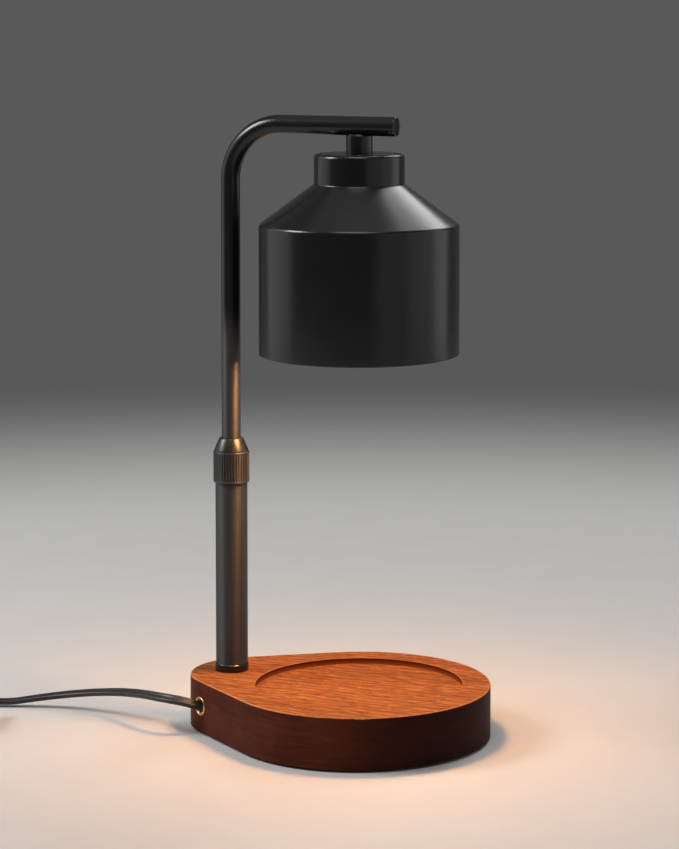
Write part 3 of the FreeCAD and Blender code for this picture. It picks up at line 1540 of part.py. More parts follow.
def write(pieces):
    os.makedirs("parts", exist_ok=True)
    for piece in pieces:
        piece.Shape.exportStep(f"parts/{piece.Label}.step")
    print(len(pieces), "nodes,", sum(len(p.Shape.Solids) for p in pieces), "solids")


build()
PIECES = nodes()
check(PIECES)
write(PIECES)
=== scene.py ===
import json
import math

import bmesh
import bpy
from mathutils import Matrix, Vector


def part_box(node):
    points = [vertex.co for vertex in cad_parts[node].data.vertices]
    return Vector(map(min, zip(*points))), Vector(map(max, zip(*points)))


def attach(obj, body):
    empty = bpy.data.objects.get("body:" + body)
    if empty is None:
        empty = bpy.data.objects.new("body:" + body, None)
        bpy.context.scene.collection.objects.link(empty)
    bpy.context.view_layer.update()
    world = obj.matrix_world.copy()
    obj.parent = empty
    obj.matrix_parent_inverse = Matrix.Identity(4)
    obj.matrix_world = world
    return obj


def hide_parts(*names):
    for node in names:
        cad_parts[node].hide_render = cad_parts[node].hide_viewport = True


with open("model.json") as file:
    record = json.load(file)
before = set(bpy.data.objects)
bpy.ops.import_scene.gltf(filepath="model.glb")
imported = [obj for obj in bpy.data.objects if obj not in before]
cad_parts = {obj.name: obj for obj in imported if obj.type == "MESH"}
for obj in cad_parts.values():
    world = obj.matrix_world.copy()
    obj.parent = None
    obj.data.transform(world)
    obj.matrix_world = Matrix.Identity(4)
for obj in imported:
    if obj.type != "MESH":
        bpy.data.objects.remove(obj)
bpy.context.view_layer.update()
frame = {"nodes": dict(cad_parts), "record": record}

# The looks of the candle warmer lamp. Places and routes are in metres. Outlines, sections and
# the patterns of a finish are in millimetres, which MM turns into metres.
MM = 0.001
UP = Vector((0, 0, 1))
POLE_X = -0.05775
SHADE_X = 0.01225
# The arm in millimetres: its radius, a hair inside the model's 4.75, then its bend, the height of
# its level run and the length of that run.
ARM_RADIUS, ARM_BEND, ARM_LEVEL, ARM_RUN = 4.7498, 28.0, 301.8, 61.1

CAMERA_SPOT = Vector((0.54591, -1.20001, 0.36496))
CAMERA_RIGHT = Vector((0.92448328, 0.3812137, 0.00260217))
CAMERA_UP = Vector((-0.03286944, 0.07290772, 0.9967969))


# ---------------------------------------------------------------------------------------------
# Camera
# ---------------------------------------------------------------------------------------------
def set_camera():
    """A long lens a little above the shade's rim, in front of the lamp and right of it."""
    lens = bpy.data.cameras.new("studio_camera")
    lens.sensor_width = 36.0
    lens.lens = 114.649
    lens.shift_x = -0.11074
    lens.shift_y = -0.24946
    camera = bpy.data.objects.new("studio_camera", lens)
    back = CAMERA_RIGHT.cross(CAMERA_UP)
    turn = Matrix((CAMERA_RIGHT, CAMERA_UP, back)).transposed().to_4x4()
    camera.matrix_world = Matrix.Translation(CAMERA_SPOT) @ turn
    bpy.context.scene.collection.objects.link(camera)
    bpy.context.scene.camera = camera


# ---------------------------------------------------------------------------------------------
# Mesh tools
# ---------------------------------------------------------------------------------------------
# A radius below this one is a point on the axis of a turned piece.
ON_AXIS = 1e-6
# How deep each point of one rib lies, as a share of the rib's depth.
RIB = (0.0, 0.0, 0.1, 1.0, 1.0, 0.1)


def finished_mesh(name, made, sharp_degrees):
    """Turn a bmesh into an object whose faces are smooth up to a crease angle."""
    bmesh.ops.recalc_face_normals(made, faces=made.faces)
    mesh = bpy.data.meshes.new(name)
    made.to_mesh(mesh)
    made.free()
    mesh.shade_smooth()
    mesh.set_sharp_from_angle(angle=math.radians(sharp_degrees))
    piece = bpy.data.objects.new(name, mesh)
    bpy.context.scene.collection.objects.link(piece)
    return piece


def softened(corners, steps=6):
    """Round the corners of a closed outline in millimetres.

    Each corner is a radius and a height, and a third number is the radius of its round.
    """
    outline = []
    for i, (x, z, *round_off) in enumerate(corners):
        if not round_off:
            outline.append((x, z))
            continue
        here = Vector((x, z))
        before = Vector(corners[i - 1][:2]) - here
        after = Vector(corners[(i + 1) % len(corners)][:2]) - here
        half = before.angle(after) / 2
        before.normalize()
        after.normalize()
        reach = round_off[0] / math.tan(half)
        middle = here + (before + after).normalized() * (round_off[0] / math.sin(half))
        from_middle = here + before * reach - middle
        to_middle = here + after * reach - middle
        for step in range(steps + 1):
            spoke = from_middle.lerp(to_middle, step / steps).normalized() * round_off[0]
            outline.append(tuple(middle + spoke))
    return outline


def turned(name, outline, place, closed=True, steps=96, ribs=0, depth=0.0, sharp=40):
    """A piece turned about its own axis from an outline in millimetres, ribbed where asked.

    Each point is a radius and a height, and a third number is how much of the ribs' depth shows
    there. An outline that isn't closed starts and ends on the axis.
    """
    steps = ribs * len(RIB) if ribs else steps
    made = bmesh.new()
    rings = []
    for radius, height, *cut in outline:
        if radius < ON_AXIS:
            rings.append([made.verts.new(place @ Vector((0, 0, height * MM)))])
            continue
        ring = []
        for step in range(steps):
            angle = math.tau * step / steps
            sunk = radius - (cut[0] * depth * RIB[step % len(RIB)] if cut else 0.0)
            spot = Vector((sunk * math.cos(angle), sunk * math.sin(angle), height))
            ring.append(made.verts.new(place @ (spot * MM)))
        rings.append(ring)
    pairs = list(zip(rings, rings[1:]))
    if closed:
        pairs.append((rings[-1], rings[0]))
    for low, high in pairs:
        for step in range(steps):
            after = (step + 1) % steps
            corners = [low[step % len(low)], low[after % len(low)]]
            corners += [high[after % len(high)], high[step % len(high)]]
            corners = list(dict.fromkeys(corners))
            if len(corners) > 2:
                made.faces.new(corners)
    return finished_mesh(name, made, sharp)


def bridge(made, low, high):
    """Join two rings with the same count of points by a strip of faces."""
    for step in range(len(low)):
        after = (step + 1) % len(low)
        made.faces.new((low[step], low[after], high[after], high[step]))


def lofted(name, rings, sharp):
    """A closed skin over rings of points, with both ends capped."""
    made = bmesh.new()
    skin = [[made.verts.new(spot) for spot in ring] for ring in rings]
    for low, high in zip(skin, skin[1:]):
        bridge(made, low, high)
    made.faces.new(skin[0])
    made.faces.new(skin[-1])
    return finished_mesh(name, made, sharp)


def upright(x, y=0.0):
    """A place on the table with its axis upright."""
    return Matrix.Translation((x, y, 0))


def swung(degrees):
    """A turn about the upright axis."""
    return Matrix.Rotation(math.radians(degrees), 4, "Z")


def facing(spot, direction):
    """A place whose own upright axis points along a direction."""
    return Matrix.Translation(spot) @ UP.rotation_difference(direction).to_matrix().to_4x4()


def add_piece(piece, body, slot, finish, *nodes):
    """Fix a piece to its body, give it its finish and let it stand for its solids."""
    piece.data.materials.clear()
    piece.data.materials.append(finish)
    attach(piece, body)
    if nodes:
        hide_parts(*nodes)
    return piece


# ---------------------------------------------------------------------------------------------
# Cord: the routes and the flat twin lead that follows them
# ---------------------------------------------------------------------------------------------
def from_pole(x, y, z):
    """A point of the cord's route, measured from the pole's axis on the table."""
    return Vector((POLE_X + x, y, z))


def along(degrees):
    """The level direction at an angle from +X."""
    return Vector((math.cos(math.radians(degrees)), math.sin(math.radians(degrees)), 0))


def around(middle, degrees, reach, z):
    """A point at some reach from a middle, at an angle and a height."""
    turn = math.radians(degrees)
    return Vector((middle.x + reach * math.cos(turn), middle.y + reach * math.sin(turn), z))


DIMMER_HEADING = 200
DIMMER_AXIS = along(DIMMER_HEADING)
DIMMER_ENTRY = from_pole(-0.150, -0.032, 0.007)
DIMMER_MIDDLE = DIMMER_ENTRY + DIMMER_AXIS * 0.031
DIMMER_EXIT = DIMMER_ENTRY + DIMMER_AXIS * 0.062
COIL_MIDDLE = from_pole(-0.143, -0.089, 0)
PLUG_HEADING = 100
PLUG_AXIS = along(PLUG_HEADING)
PLUG_TAIL = from_pole(-0.115, -0.088, 0.0116)
PLUG_PLACE = Matrix.Translation(PLUG_TAIL) @ swung(PLUG_HEADING)
OUTLET = Vector((-0.061842, -0.027937, 0.014))
OUTLET_HEADING = -125.28
# Heights of the lead's middle: on the table, and on another turn that lies there.
LYING = 0.0014
UPPER = 0.0042
# Reaches of the coil's turns from its middle.
WIDE_TURN, MIDDLE_TURN, NARROW_TURN = 0.0338, 0.0286, 0.0234

BASE_ROUTE = [
    Vector((-0.041078, -0.013286, 0.014)),
    Vector((-0.048693, -0.014974, 0.014)),
    Vector((-0.055430, -0.018876, 0.014)),
    OUTLET,
    from_pole(-0.0086, -0.0318, 0.0164),
    from_pole(-0.0147, -0.0339, 0.0176),
    from_pole(-0.0236, -0.0324, 0.0176),
    from_pole(-0.0362, -0.0262, 0.0164),
    from_pole(-0.0515, -0.0188, 0.0141),
    from_pole(-0.0690, -0.0132, 0.0110),
    from_pole(-0.0870, -0.0112, 0.0077),
    from_pole(-0.1040, -0.0140, 0.0047),
    from_pole(-0.1200, -0.0200, 0.0019),
    from_pole(-0.1352, -0.0266, 0.0042),
    DIMMER_ENTRY,
    DIMMER_ENTRY + DIMMER_AXIS * 0.0075,
]

PLUG_ROUTE_OUT = [
    DIMMER_EXIT - DIMMER_AXIS * 0.0075,
    DIMMER_EXIT,
    from_pole(-0.2166, -0.0576, 0.0056),
    from_pole(-0.2228, -0.0656, 0.0033),
    from_pole(-0.2244, -0.0772, 0.0019),
    from_pole(-0.2198, -0.0886, 0.0015),
    from_pole(-0.2098, -0.0978, LYING),
    from_pole(-0.1966, -0.1048, 0.0015),
    from_pole(-0.1820, -0.1114, LYING),
    from_pole(-0.1672, -0.1172, 0.0015),
]

PLUG_ROUTE_END = [
    around(COIL_MIDDLE, 270, WIDE_TURN, UPPER),
    around(COIL_MIDDLE, 292, WIDE_TURN, UPPER),
    around(COIL_MIDDLE, 308, 0.0335, 0.0049),
    around(COIL_MIDDLE, 326, 0.0326, 0.0074),
    PLUG_TAIL - PLUG_AXIS * 0.009,
    PLUG_TAIL,
]


def coil_turns():
    """Six turns: three beside each other on the table, going in, and three on them, going out.

    Between the third and the fourth the lead dips inwards while it climbs.
    """
    steps, start = 12, 254
    reaches = (WIDE_TURN, MIDDLE_TURN, NARROW_TURN)
    turns = [(reach, LYING) for reach in reaches] + [(reach, UPPER) for reach in reaches[::-1]]
    spots = [spot for spot in turns for _ in range(steps)]
    climb = len(reaches) * steps
    spots[climb - 1] = (0.0208, 0.0019)
    spots[climb] = (0.0209, UPPER)
    return [
        around(COIL_MIDDLE, start + 360 / steps * (i % steps), *spot)
        for i, spot in enumerate(spots)
    ]


def spline_line(route):
    """The points of a smooth spline that has the route's points as its control points."""
    curve = bpy.data.curves.new("route", "CURVE")
    curve.dimensions = "3D"
    curve.resolution_u = 10
    spline = curve.splines.new("NURBS")
    spline.points.add(len(route) - 1)
    for point, spot in zip(spline.points, route):
        point.co = (*spot, 1)
    spline.order_u = 3
    spline.use_endpoint_u = True
    holder = bpy.data.objects.new("route", curve)
    bpy.context.scene.collection.objects.link(holder)
    bpy.context.view_layer.update()
    mesh = bpy.data.meshes.new_from_object(holder)
    line = [vertex.co.copy() for vertex in mesh.vertices]
    bpy.data.objects.remove(holder)
    bpy.data.curves.remove(curve)
    bpy.data.meshes.remove(mesh)
    return line


def twin_section():
    """The flat twin lead cut across, in millimetres: two round cores and the web between."""
    core, half_web, web_angle = 1.3, 0.94, 118
    right = []
    for step in range(11):
        angle = math.radians(-web_angle + 2 * web_angle / 10 * step)
        right.append((core + core * math.cos(angle), core * math.sin(angle)))
    left = [(-x, -z) for x, z in right]
    return right + [(0, half_web)] + left + [(0, -half_web)]


def flat_lead(name, route, roll=0):
    """A flat twin lead along a route: it starts rolled by some degrees and comes to lie flat."""
    line = spline_line(route)
    section = twin_section()
    rolled_share = 0.85
    rings = []
    for i, spot in enumerate(line):
        ahead = (line[min(i + 1, len(line) - 1)] - line[max(i - 1, 0)]).normalized()
        share = min(i / (len(line) * rolled_share), 1.0)
        rolled = Matrix.Rotation(math.radians(roll * (1 - share ** 2)), 3, ahead)
        side = rolled @ ahead.cross(UP).normalized()
        lift = side.cross(ahead)
        rings.append([spot + (side * x + lift * z) * MM for x, z in section])
    return lofted(name, rings, sharp=60), line


# ---------------------------------------------------------------------------------------------
# Finishes
# ---------------------------------------------------------------------------------------------
class Signal:
    """A socket of a finish's node tree. Arithmetic on it adds Math nodes."""

    def __init__(self, finish, socket):
        self.finish = finish
        self.socket = socket

    def maths(self, operation, *values):
        """Add a Math node."""
        return self.finish.node("Math", {"operation": operation}, dict(enumerate(values)))

    def __add__(self, other):
        return self.maths("ADD", self, other)

    __radd__ = __add__

    def __sub__(self, other):
        return self.maths("SUBTRACT", self, other)

    def __rsub__(self, other):
        return self.maths("SUBTRACT", other, self)

    def __mul__(self, other):
        return self.maths("MULTIPLY", self, other)

    __rmul__ = __mul__

    def __pow__(self, power):
        return self.maths("POWER", self, power)

    def __abs__(self):
        return self.maths("ABSOLUTE", self)

    def sine(self):
        return self.maths("SINE", self)

    def step(self, low, high):
        """0 below low and 1 above high, with a smooth change between."""
        return self.finish.node(
            "MapRange",
            {"interpolation_type": "SMOOTHSTEP"},
            {"Value": self, "From Min": low, "From Max": high},
        )


class Finish:
    """A procedural finish, built node by node."""

    def __init__(self, name):
        self.material = bpy.data.materials.new(name)
        self.material.use_nodes = True
        self.tree = self.material.node_tree
        self.tree.nodes.clear()

    def node(self, kind, settings, inputs, output=0):
        """Add a node: its settings first, then the values or signals of its sockets."""
        made = self.tree.nodes.new("ShaderNode" + kind)
        for name, setting in settings.items():
            setattr(made, name, setting)
        for name, given in inputs.items():
            if isinstance(given, Signal):
                self.tree.links.new(given.socket, made.inputs[name])
            else:
                made.inputs[name].default_value = given
        return Signal(self, made.outputs[output]) if made.outputs else None

    def millimetres(self, x=1.0, y=1.0, z=1.0):
        """The place on the piece in millimetres, squeezed along each axis."""
        here = self.node("TexCoord", {}, {}, "Object")
        squeeze = (x / MM, y / MM, z / MM)
        return self.node("VectorMath", {"operation": "MULTIPLY"}, {0: here, 1: squeeze})

    def axis(self, vector, name):
        return self.node("SeparateXYZ", {}, {0: vector}, name)

    def noise(self, vector, scale, detail=3.0, roughness=0.5, distortion=0.0):
        inputs = {"Vector": vector, "Scale": scale, "Detail": detail}
        inputs.update({"Roughness": roughness, "Distortion": distortion})
        return self.node("TexNoise", {}, inputs, "Fac")

    def cells(self, vector, scale):
        return self.node("TexVoronoi", {}, {"Vector": vector, "Scale": scale}, "Distance")

    def blend(self, share, first, second):
        """A colour between two, by a share."""
        first, second = (
            color if isinstance(color, Signal) else (*color, 1.0) for color in (first, second)
        )
        return self.node("Mix", {"data_type": "RGBA"}, {0: share, 6: first, 7: second}, 2)

    def relief(self, height, strength, distance):
        inputs = {"Strength": strength, "Distance": distance, "Height": height}
        return self.node("Bump", {}, inputs)

    def surface(self, color, roughness, **rest):
        """Close the finish with its shader, and hand over the material."""
        inputs = {"Base Color": color, "Roughness": roughness}
        inputs.update({name.replace("_", " "): given for name, given in rest.items()})
        if not isinstance(color, Signal):
            inputs["Base Color"] = (*color, 1.0)
        shader = self.node("BsdfPrincipled", {}, inputs)
        self.node("OutputMaterial", {}, {"Surface": shader})
        return self.material


# How strongly the bulb shines through its front glass and the back of its reflector.
GLOW = 100.0
BACK_GLOW = 50.0


def cherry_stained_wood():
    """Cherry-stained wood: wavy raised grain along X on the flat top; smoother sides, darker by
    stain and by painted shade.

    The far end is darkened by painted shade, the edge between top and sides carries a painted
    highlight, and the recess's wall carries painted shade, dark at its top, red-brown at its foot.
    """
    wood = Finish("cherry_stained_wood")
    recess, past_recess = 51.5, 53.0
    wall_foot, wall_top = 23.6, 26.2
    warp = wood.noise(wood.millimetres(0.040, 0.11, 0.11), 1.0, 3.0, 0.55, 0.5)
    wiggle = wood.noise(wood.millimetres(0.13, 0.24, 0.24), 1.0, 2.0, 0.5, 0.4)
    wave = (wood.axis(wood.millimetres(), "Y") * 1.25 + warp * 15.0 + wiggle * 5.0).sine()
    broken = wood.noise(wood.millimetres(0.105, 0.60, 0.60), 1.0, 2.0, 0.5).step(0.34, 0.60)
    ripple = wood.noise(wood.millimetres(0.120, 0.52, 0.52), 1.0, 3.0, 0.60, 1.0)
    fibre = wood.noise(wood.millimetres(0.07, 1.5, 1.5), 1.0, 4.0, 0.6, 0.4)
    tone = wood.noise(wood.millimetres(0.012, 0.045, 0.045), 1.0, 3.0)
    grain = wave * broken * 0.85 + (ripple - 0.5) * 2.9
    # Grain lines: the dark valleys and light crests are partly the wood's grain colour and partly
    # painted shade and painted highlight of the raised grain.
    grain_valley_and_shade = (0 - grain).step(0.10, 0.80)
    crest = grain.step(0.12, 0.80)
    pores = wood.noise(wood.millimetres(0.18, 2.4, 2.4), 1.0, 3.0, 0.6).step(0.60, 0.70)
    dark = fibre.step(0.30, 0.72) * 0.55 + tone.step(0.3, 0.7) * 0.45
    top = wood.blend(dark, (0.328, 0.107, 0.030), (0.224, 0.070, 0.020))
    top = wood.blend(grain_valley_and_shade * 0.66, top, (0.104, 0.029, 0.009))
    top = wood.blend(crest * 0.50, top, (0.500, 0.200, 0.066))
    top = wood.blend(pores * 0.25, top, (0.090, 0.024, 0.010))
    streak = wood.noise(wood.millimetres(0.05, 0.05, 0.9), 1.0, 4.0, 0.6, 0.3)
    cloud = wood.noise(wood.millimetres(0.05, 0.05, 0.07), 1.0, 2.0)
    deep = streak.step(0.3, 0.7) * 0.5 + cloud.step(0.3, 0.7) * 0.5
    # The sides' colours are darker than the top's partly by their stain and partly by painted
    # shade.
    side = wood.blend(deep, (0.098, 0.0235, 0.0125), (0.046, 0.0110, 0.0060))
    normal = wood.node("NewGeometry", {}, {}, "Normal")
    # Painted shade: the sides facing +X turn near black.
    far_end_painted_shade = wood.axis(normal, "X").step(0.0, 0.85)
    side = wood.blend(far_end_painted_shade * 0.85, side, (0.011, 0.0028, 0.0017))
    here = wood.millimetres()
    from_middle = (wood.axis(here, "X") - SHADE_X / MM) ** 2 + wood.axis(here, "Y") ** 2
    in_recess = 1 - from_middle.step(recess ** 2, past_recess ** 2)
    # Painted shade in the recess: its wall is dark at its top and red-brown at its foot.
    painted_wall_shade = wood.axis(here, "Z").step(wall_foot, wall_top)
    wall = wood.blend(painted_wall_shade, (0.250, 0.062, 0.018), (0.062, 0.014, 0.006))
    side = wood.blend(in_recess, side, wall)
    upward = wood.axis(normal, "Z")
    flat = abs(upward).step(0.25, 0.80)
    # Painted highlight: a light band along the rounded edge between the top and the sides.
    rim = upward.step(0.30, 0.55) * (1 - upward.step(0.85, 0.98))
    height = (grain * 0.42 + fibre * 0.35 - pores * 0.25) * flat + streak * (1 - flat) * 0.10
    return wood.surface(
        wood.blend(rim * 0.75, wood.blend(flat, side, top), (0.620, 0.235, 0.075)),
        0.50 + fibre * 0.12,
        Normal=wood.relief(height, 0.70, 0.0009),
        Specular_IOR_Level=0.06,
    )


def satin_black_lacquer(name, roughness, rubbed=None):
    """Baked satin black on metal, with the faint orange peel of a sprayed coat.

    A piece that its clamp rubs has a duller, brushed gloss below the first height of rubbed, in
    millimetres, and is as sprayed above the second.
    """
    coat = Finish(name)
    here = coat.millimetres()
    peel = coat.noise(here, 1.1, 2.0)
    grit = coat.noise(here, 5.0, 2.0)
    handled = coat.noise(here, 0.035, 3.0)
    look = {
        "Base Color": coat.blend(
            handled.step(0.3, 0.75), (0.0048, 0.0048, 0.0050), (0.0072, 0.0070, 0.0068)
        ),
        "Normal": coat.relief(peel * 0.6 + grit * 0.4, 0.10, 0.00006),
    }
    texture = handled * 0.06 + grit * 0.03
    sprayed = coat.node("BsdfPrincipled", {}, {**look, "Roughness": roughness + texture})
    if rubbed:
        worn = {"Roughness": 0.53 + texture, "Specular IOR Level": 0.85}
        worn.update({"Anisotropic": 0.78, "Anisotropic Rotation": 0.25})
        dull = coat.node("BsdfPrincipled", {}, {**look, **worn})
        share = coat.axis(here, "Z").step(*rubbed)
        sprayed = coat.node("MixShader", {}, {0: share, 1: dull, 2: sprayed})
    coat.node("OutputMaterial", {}, {"Surface": sprayed})
    return coat.material


def polished_brass():
    """Turned brass, a little tarnished."""
    brass = Finish("polished_brass")
    here = brass.millimetres()
    tarnish = brass.noise(here, 0.9, 4.0)
    lines = brass.noise(brass.millimetres(1.0, 1.0, 6.0), 2.5, 3.0)
    color = brass.blend(tarnish.step(0.4, 0.75), (0.86, 0.60, 0.26), (0.58, 0.36, 0.14))
    return brass.surface(
        color,
        0.18 + tarnish * 0.20,
        Metallic=1.0,
        Normal=brass.relief(lines, 0.10, 0.00004),
    )


def zinc_plated_steel():
    """Bright zinc plate with faint rolling lines and cloudy patches."""
    zinc = Finish("zinc_plated_steel")
    cloud = zinc.noise(zinc.millimetres(), 0.14, 4.0)
    rolled = zinc.noise(zinc.millimetres(0.04, 1.0, 1.0), 3.2, 4.0)
    color = zinc.blend(cloud.step(0.3, 0.75), (0.66, 0.66, 0.67), (0.46, 0.47, 0.49))
    return zinc.surface(
        color,
        0.26 + cloud * 0.14 + rolled * 0.12,
        Metallic=1.0,
        Normal=zinc.relief(rolled, 0.12, 0.00005),
    )


def moulded(name, pale, deep, roughness, grain):
    """Moulded plastic or rubber with a fine spark-eroded grain."""
    shell = Finish(name)
    here = shell.millimetres()
    patch = shell.noise(here, 0.08, 3.0)
    grit = shell.cells(here, grain)
    color = shell.blend(patch.step(0.3, 0.72), deep, pale)
    return shell.surface(
        color,
        roughness + patch * 0.08 + grit * 0.05,
        Normal=shell.relief(grit, 0.14, 0.00005),
    )


def cord_jacket():
    """Soft black jacket of the lead, with faint drawing lines and dull patches."""
    jacket = Finish("cord_jacket")
    here = jacket.millimetres()
    dull = jacket.noise(here, 0.16, 3.0)
    grit = jacket.noise(here, 3.0, 2.0)
    color = jacket.blend(dull.step(0.3, 0.7), (0.0120, 0.0120, 0.0125), (0.0210, 0.0200, 0.0200))
    return jacket.surface(
        color,
        0.34 + dull * 0.14,
        Normal=jacket.relief(grit, 0.10, 0.00005),
    )


def circuit_board():
    """Green solder mask over copper tracks."""
    board = Finish("circuit_board")
    here = board.millimetres()
    tracks = board.node(
        "TexBrick",
        {"offset": 0.37},
        {"Vector": here, "Scale": 0.22, "Mortar Size": 0.05, "Mortar Smooth": 0.1},
        "Fac",
    )
    cloth = board.noise(here, 2.0, 2.0)
    color = board.blend(tracks * 0.6 + cloth * 0.2, (0.020, 0.115, 0.048), (0.075, 0.250, 0.100))
    return board.surface(color, 0.30 + cloth * 0.1, Normal=board.relief(tracks, 0.2, 0.00008))


def glazed_ceramic():
    """White electrical porcelain: glazed, with a few dark specks."""
    glaze = Finish("glazed_ceramic")
    here = glaze.millimetres()
    speck = 1 - glaze.cells(here, 0.32).step(0.03, 0.07)
    pool = glaze.noise(here, 0.12, 3.0)
    body = glaze.blend(pool.step(0.3, 0.7), (0.84, 0.83, 0.79), (0.76, 0.74, 0.68))
    color = glaze.blend(speck * 0.5, body, (0.30, 0.26, 0.21))
    return glaze.surface(color, 0.28 + pool * 0.16, Normal=glaze.relief(pool, 0.1, 0.0002))


def coated_reflector():
    """Bulb glass with a thin mirror coat that lets some warm light out at the back."""
    mirror = Finish("coated_reflector")
    here = mirror.millimetres()
    cloud = mirror.noise(here, 0.10, 4.0)
    color = mirror.blend(cloud.step(0.3, 0.7), (0.82, 0.80, 0.76), (0.66, 0.64, 0.60))
    return mirror.surface(
        color,
        0.16 + cloud * 0.20,
        Metallic=0.85,
        Emission_Color=mirror.blend(cloud.step(0.3, 0.7), (1.0, 0.42, 0.12), (1.0, 0.34, 0.08)),
        Emission_Strength=BACK_GLOW,
        Normal=mirror.relief(cloud, 0.10, 0.0002),
    )


def glowing_front_glass():
    """Dimpled front glass of the bulb, lit warm from behind and brightest in the middle."""
    glass = Finish("glowing_front_glass")
    here = glass.millimetres()
    x, y = glass.axis(here, "X") - SHADE_X / MM, glass.axis(here, "Y")
    reach = (x ** 2 + y ** 2) ** 0.5
    dimples = glass.cells(here, 0.42)
    heart = 1 - reach.step(4.0, 23.0)
    glow = glass.blend(heart, (1.0, 0.40, 0.12), (1.0, 0.66, 0.34))
    glow = glass.blend(dimples.step(0.15, 0.75) * 0.45, glow, (0.62, 0.24, 0.06))
    return glass.surface(
        (0.90, 0.86, 0.78),
        0.12 + dimples * 0.10,
        Emission_Color=glow,
        Emission_Strength=GLOW,
        Normal=glass.relief(dimples, 0.5, 0.0006),
    )


def hot_capsule():
    """The bulb's inner capsule, evenly bright."""
    capsule = Finish("hot_capsule")
    band = capsule.noise(capsule.millimetres(), 0.3, 2.0)
    glow = capsule.blend(band, (1.0, 0.60, 0.28), (1.0, 0.74, 0.44))
    return capsule.surface(
        (0.95, 0.90, 0.80), 0.2, Emission_Color=glow, Emission_Strength=GLOW
    )


# Heights between which the rubbed gloss ends: at the top of the clamp's ribs, and where the arm
# slides no further into the pole.
RIBS_END = (137.7, 138.5)
RUBBING_ENDS = (188, 214)

BLACK = satin_black_lacquer("satin_black_lacquer", 0.20)
CAP_BLACK = satin_black_lacquer("cap_black_lacquer", 0.10)
CLAMP_BLACK = satin_black_lacquer("clamp_black_lacquer", 0.27, RIBS_END)
TUBE_BLACK = satin_black_lacquer("tube_black_lacquer", 0.20, RUBBING_ENDS)
BRASS = polished_brass()
ZINC = zinc_plated_steel()
JACKET = cord_jacket()
PLASTIC = moulded("moulded_black", (0.0165, 0.0165, 0.0170), (0.0240, 0.0238, 0.0235), 0.42, 2.2)
RUBBER = moulded("soft_black_rubber", (0.0140, 0.0140, 0.0140), (0.0230, 0.0220, 0.0210), 0.72, 1.6)
NYLON = moulded("natural_nylon", (0.76, 0.75, 0.70), (0.68, 0.66, 0.60), 0.40, 1.8)
MARKING = moulded("white_marking", (0.80, 0.80, 0.78), (0.72, 0.72, 0.70), 0.50, 2.6)
SLOT_FINISHES = {
    "cherry_wood": cherry_stained_wood(),
    "black_lacquer": BLACK,
    "brass": BRASS,
    "black_rubber": RUBBER,
    "zinc_steel": ZINC,
    "nylon": NYLON,
    "black_cord": JACKET,
    "black_plastic": PLASTIC,
    "circuit_board": circuit_board(),
    "white_ceramic": glazed_ceramic(),
    "reflector_glass": coated_reflector(),
    "clear_glass": glowing_front_glass(),
    "glowing_capsule": hot_capsule(),
}


def finish_solids():
    """Give every solid of the model the finish of its slot. The lower tube's is rubbed."""
    for part in frame["record"]["subparts"]:
        finish = SLOT_FINISHES[part["material_slot"]]
        if part["node"] == "lower_tube":
            finish = TUBE_BLACK
        for held in frame["nodes"][part["node"]].material_slots:
            held.material = finish


# ---------------------------------------------------------------------------------------------
# Pieces of the lamp
# ---------------------------------------------------------------------------------------------
def make_cords():
    """The lead from the base to the dimmer, and the one from the dimmer to the plug."""
    base_lead, base_line = flat_lead("base_lead", BASE_ROUTE, roll=-42)
    add_piece(base_lead, "base", "black_cord", JACKET, "power_cord")
    plug_lead, plug_line = flat_lead("plug_lead", PLUG_ROUTE_OUT + coil_turns() + PLUG_ROUTE_END)
    add_piece(plug_lead, "base", "black_cord", JACKET, "plug_cord", "cord_coil", "plug_tail")
    return base_lead, base_line, plug_lead, plug_line


def cut_away(piece, cutter, name):
    """Cut one closed piece out of another for good."""
    cut = piece.modifiers.new(name, "BOOLEAN")
    cut.operation = "DIFFERENCE"
    cut.solver = "EXACT"
    cut.use_self = True
    cut.object = cutter
    bpy.context.view_layer.update()
    shaped = piece.evaluated_get(bpy.context.evaluated_depsgraph_get())
    mesh = bpy.data.meshes.new_from_object(shaped)
    piece.modifiers.clear()
    piece.data = mesh
    bpy.data.objects.remove(cutter)


def make_shade():
    """Spun shade in one wall: crisp neck edge, soft shoulder, rolled rim and a ring of vents."""
    outline = softened([
        (4.1, 288.5),
        (4.1, 287.5),
        (21.2, 287.5, 1.0),
        (21.2, 273.0, 0.6),
        (48.0, 253.2, 1.4),
        (48.0, 192.4, 0.6),
        (47.3, 191.8, 0.5),
        (47.3, 189.95, 0.7),
        (49.0, 189.9, 0.8),
        (49.0, 253.8, 2.2),
        (22.2, 273.6, 0.9),
        (22.2, 288.5, 2.0),
        (20.1, 288.5),
        (15.6, 288.5),
    ])
    shade = turned("spun_shade", outline, upright(SHADE_X), steps=224, sharp=50)
    vents, vent_reach, vent_radius = 8, 17.9, 2 * MM
    punches = bmesh.new()
    for vent in range(vents):
        place = upright(SHADE_X) @ swung(22.5 + 360 / vents * vent)
        bmesh.ops.create_cone(
            punches,
            cap_ends=True,
            segments=32,
            radius1=vent_radius,
            radius2=vent_radius,
            depth=4 * MM,
            matrix=place @ Matrix.Translation((vent_reach * MM, 0, 288 * MM)),
        )
    cut_away(shade, finished_mesh("vent_punches", punches, 30), "vents")
    add_piece(shade, "arm", "black_lacquer", BLACK, "shade")


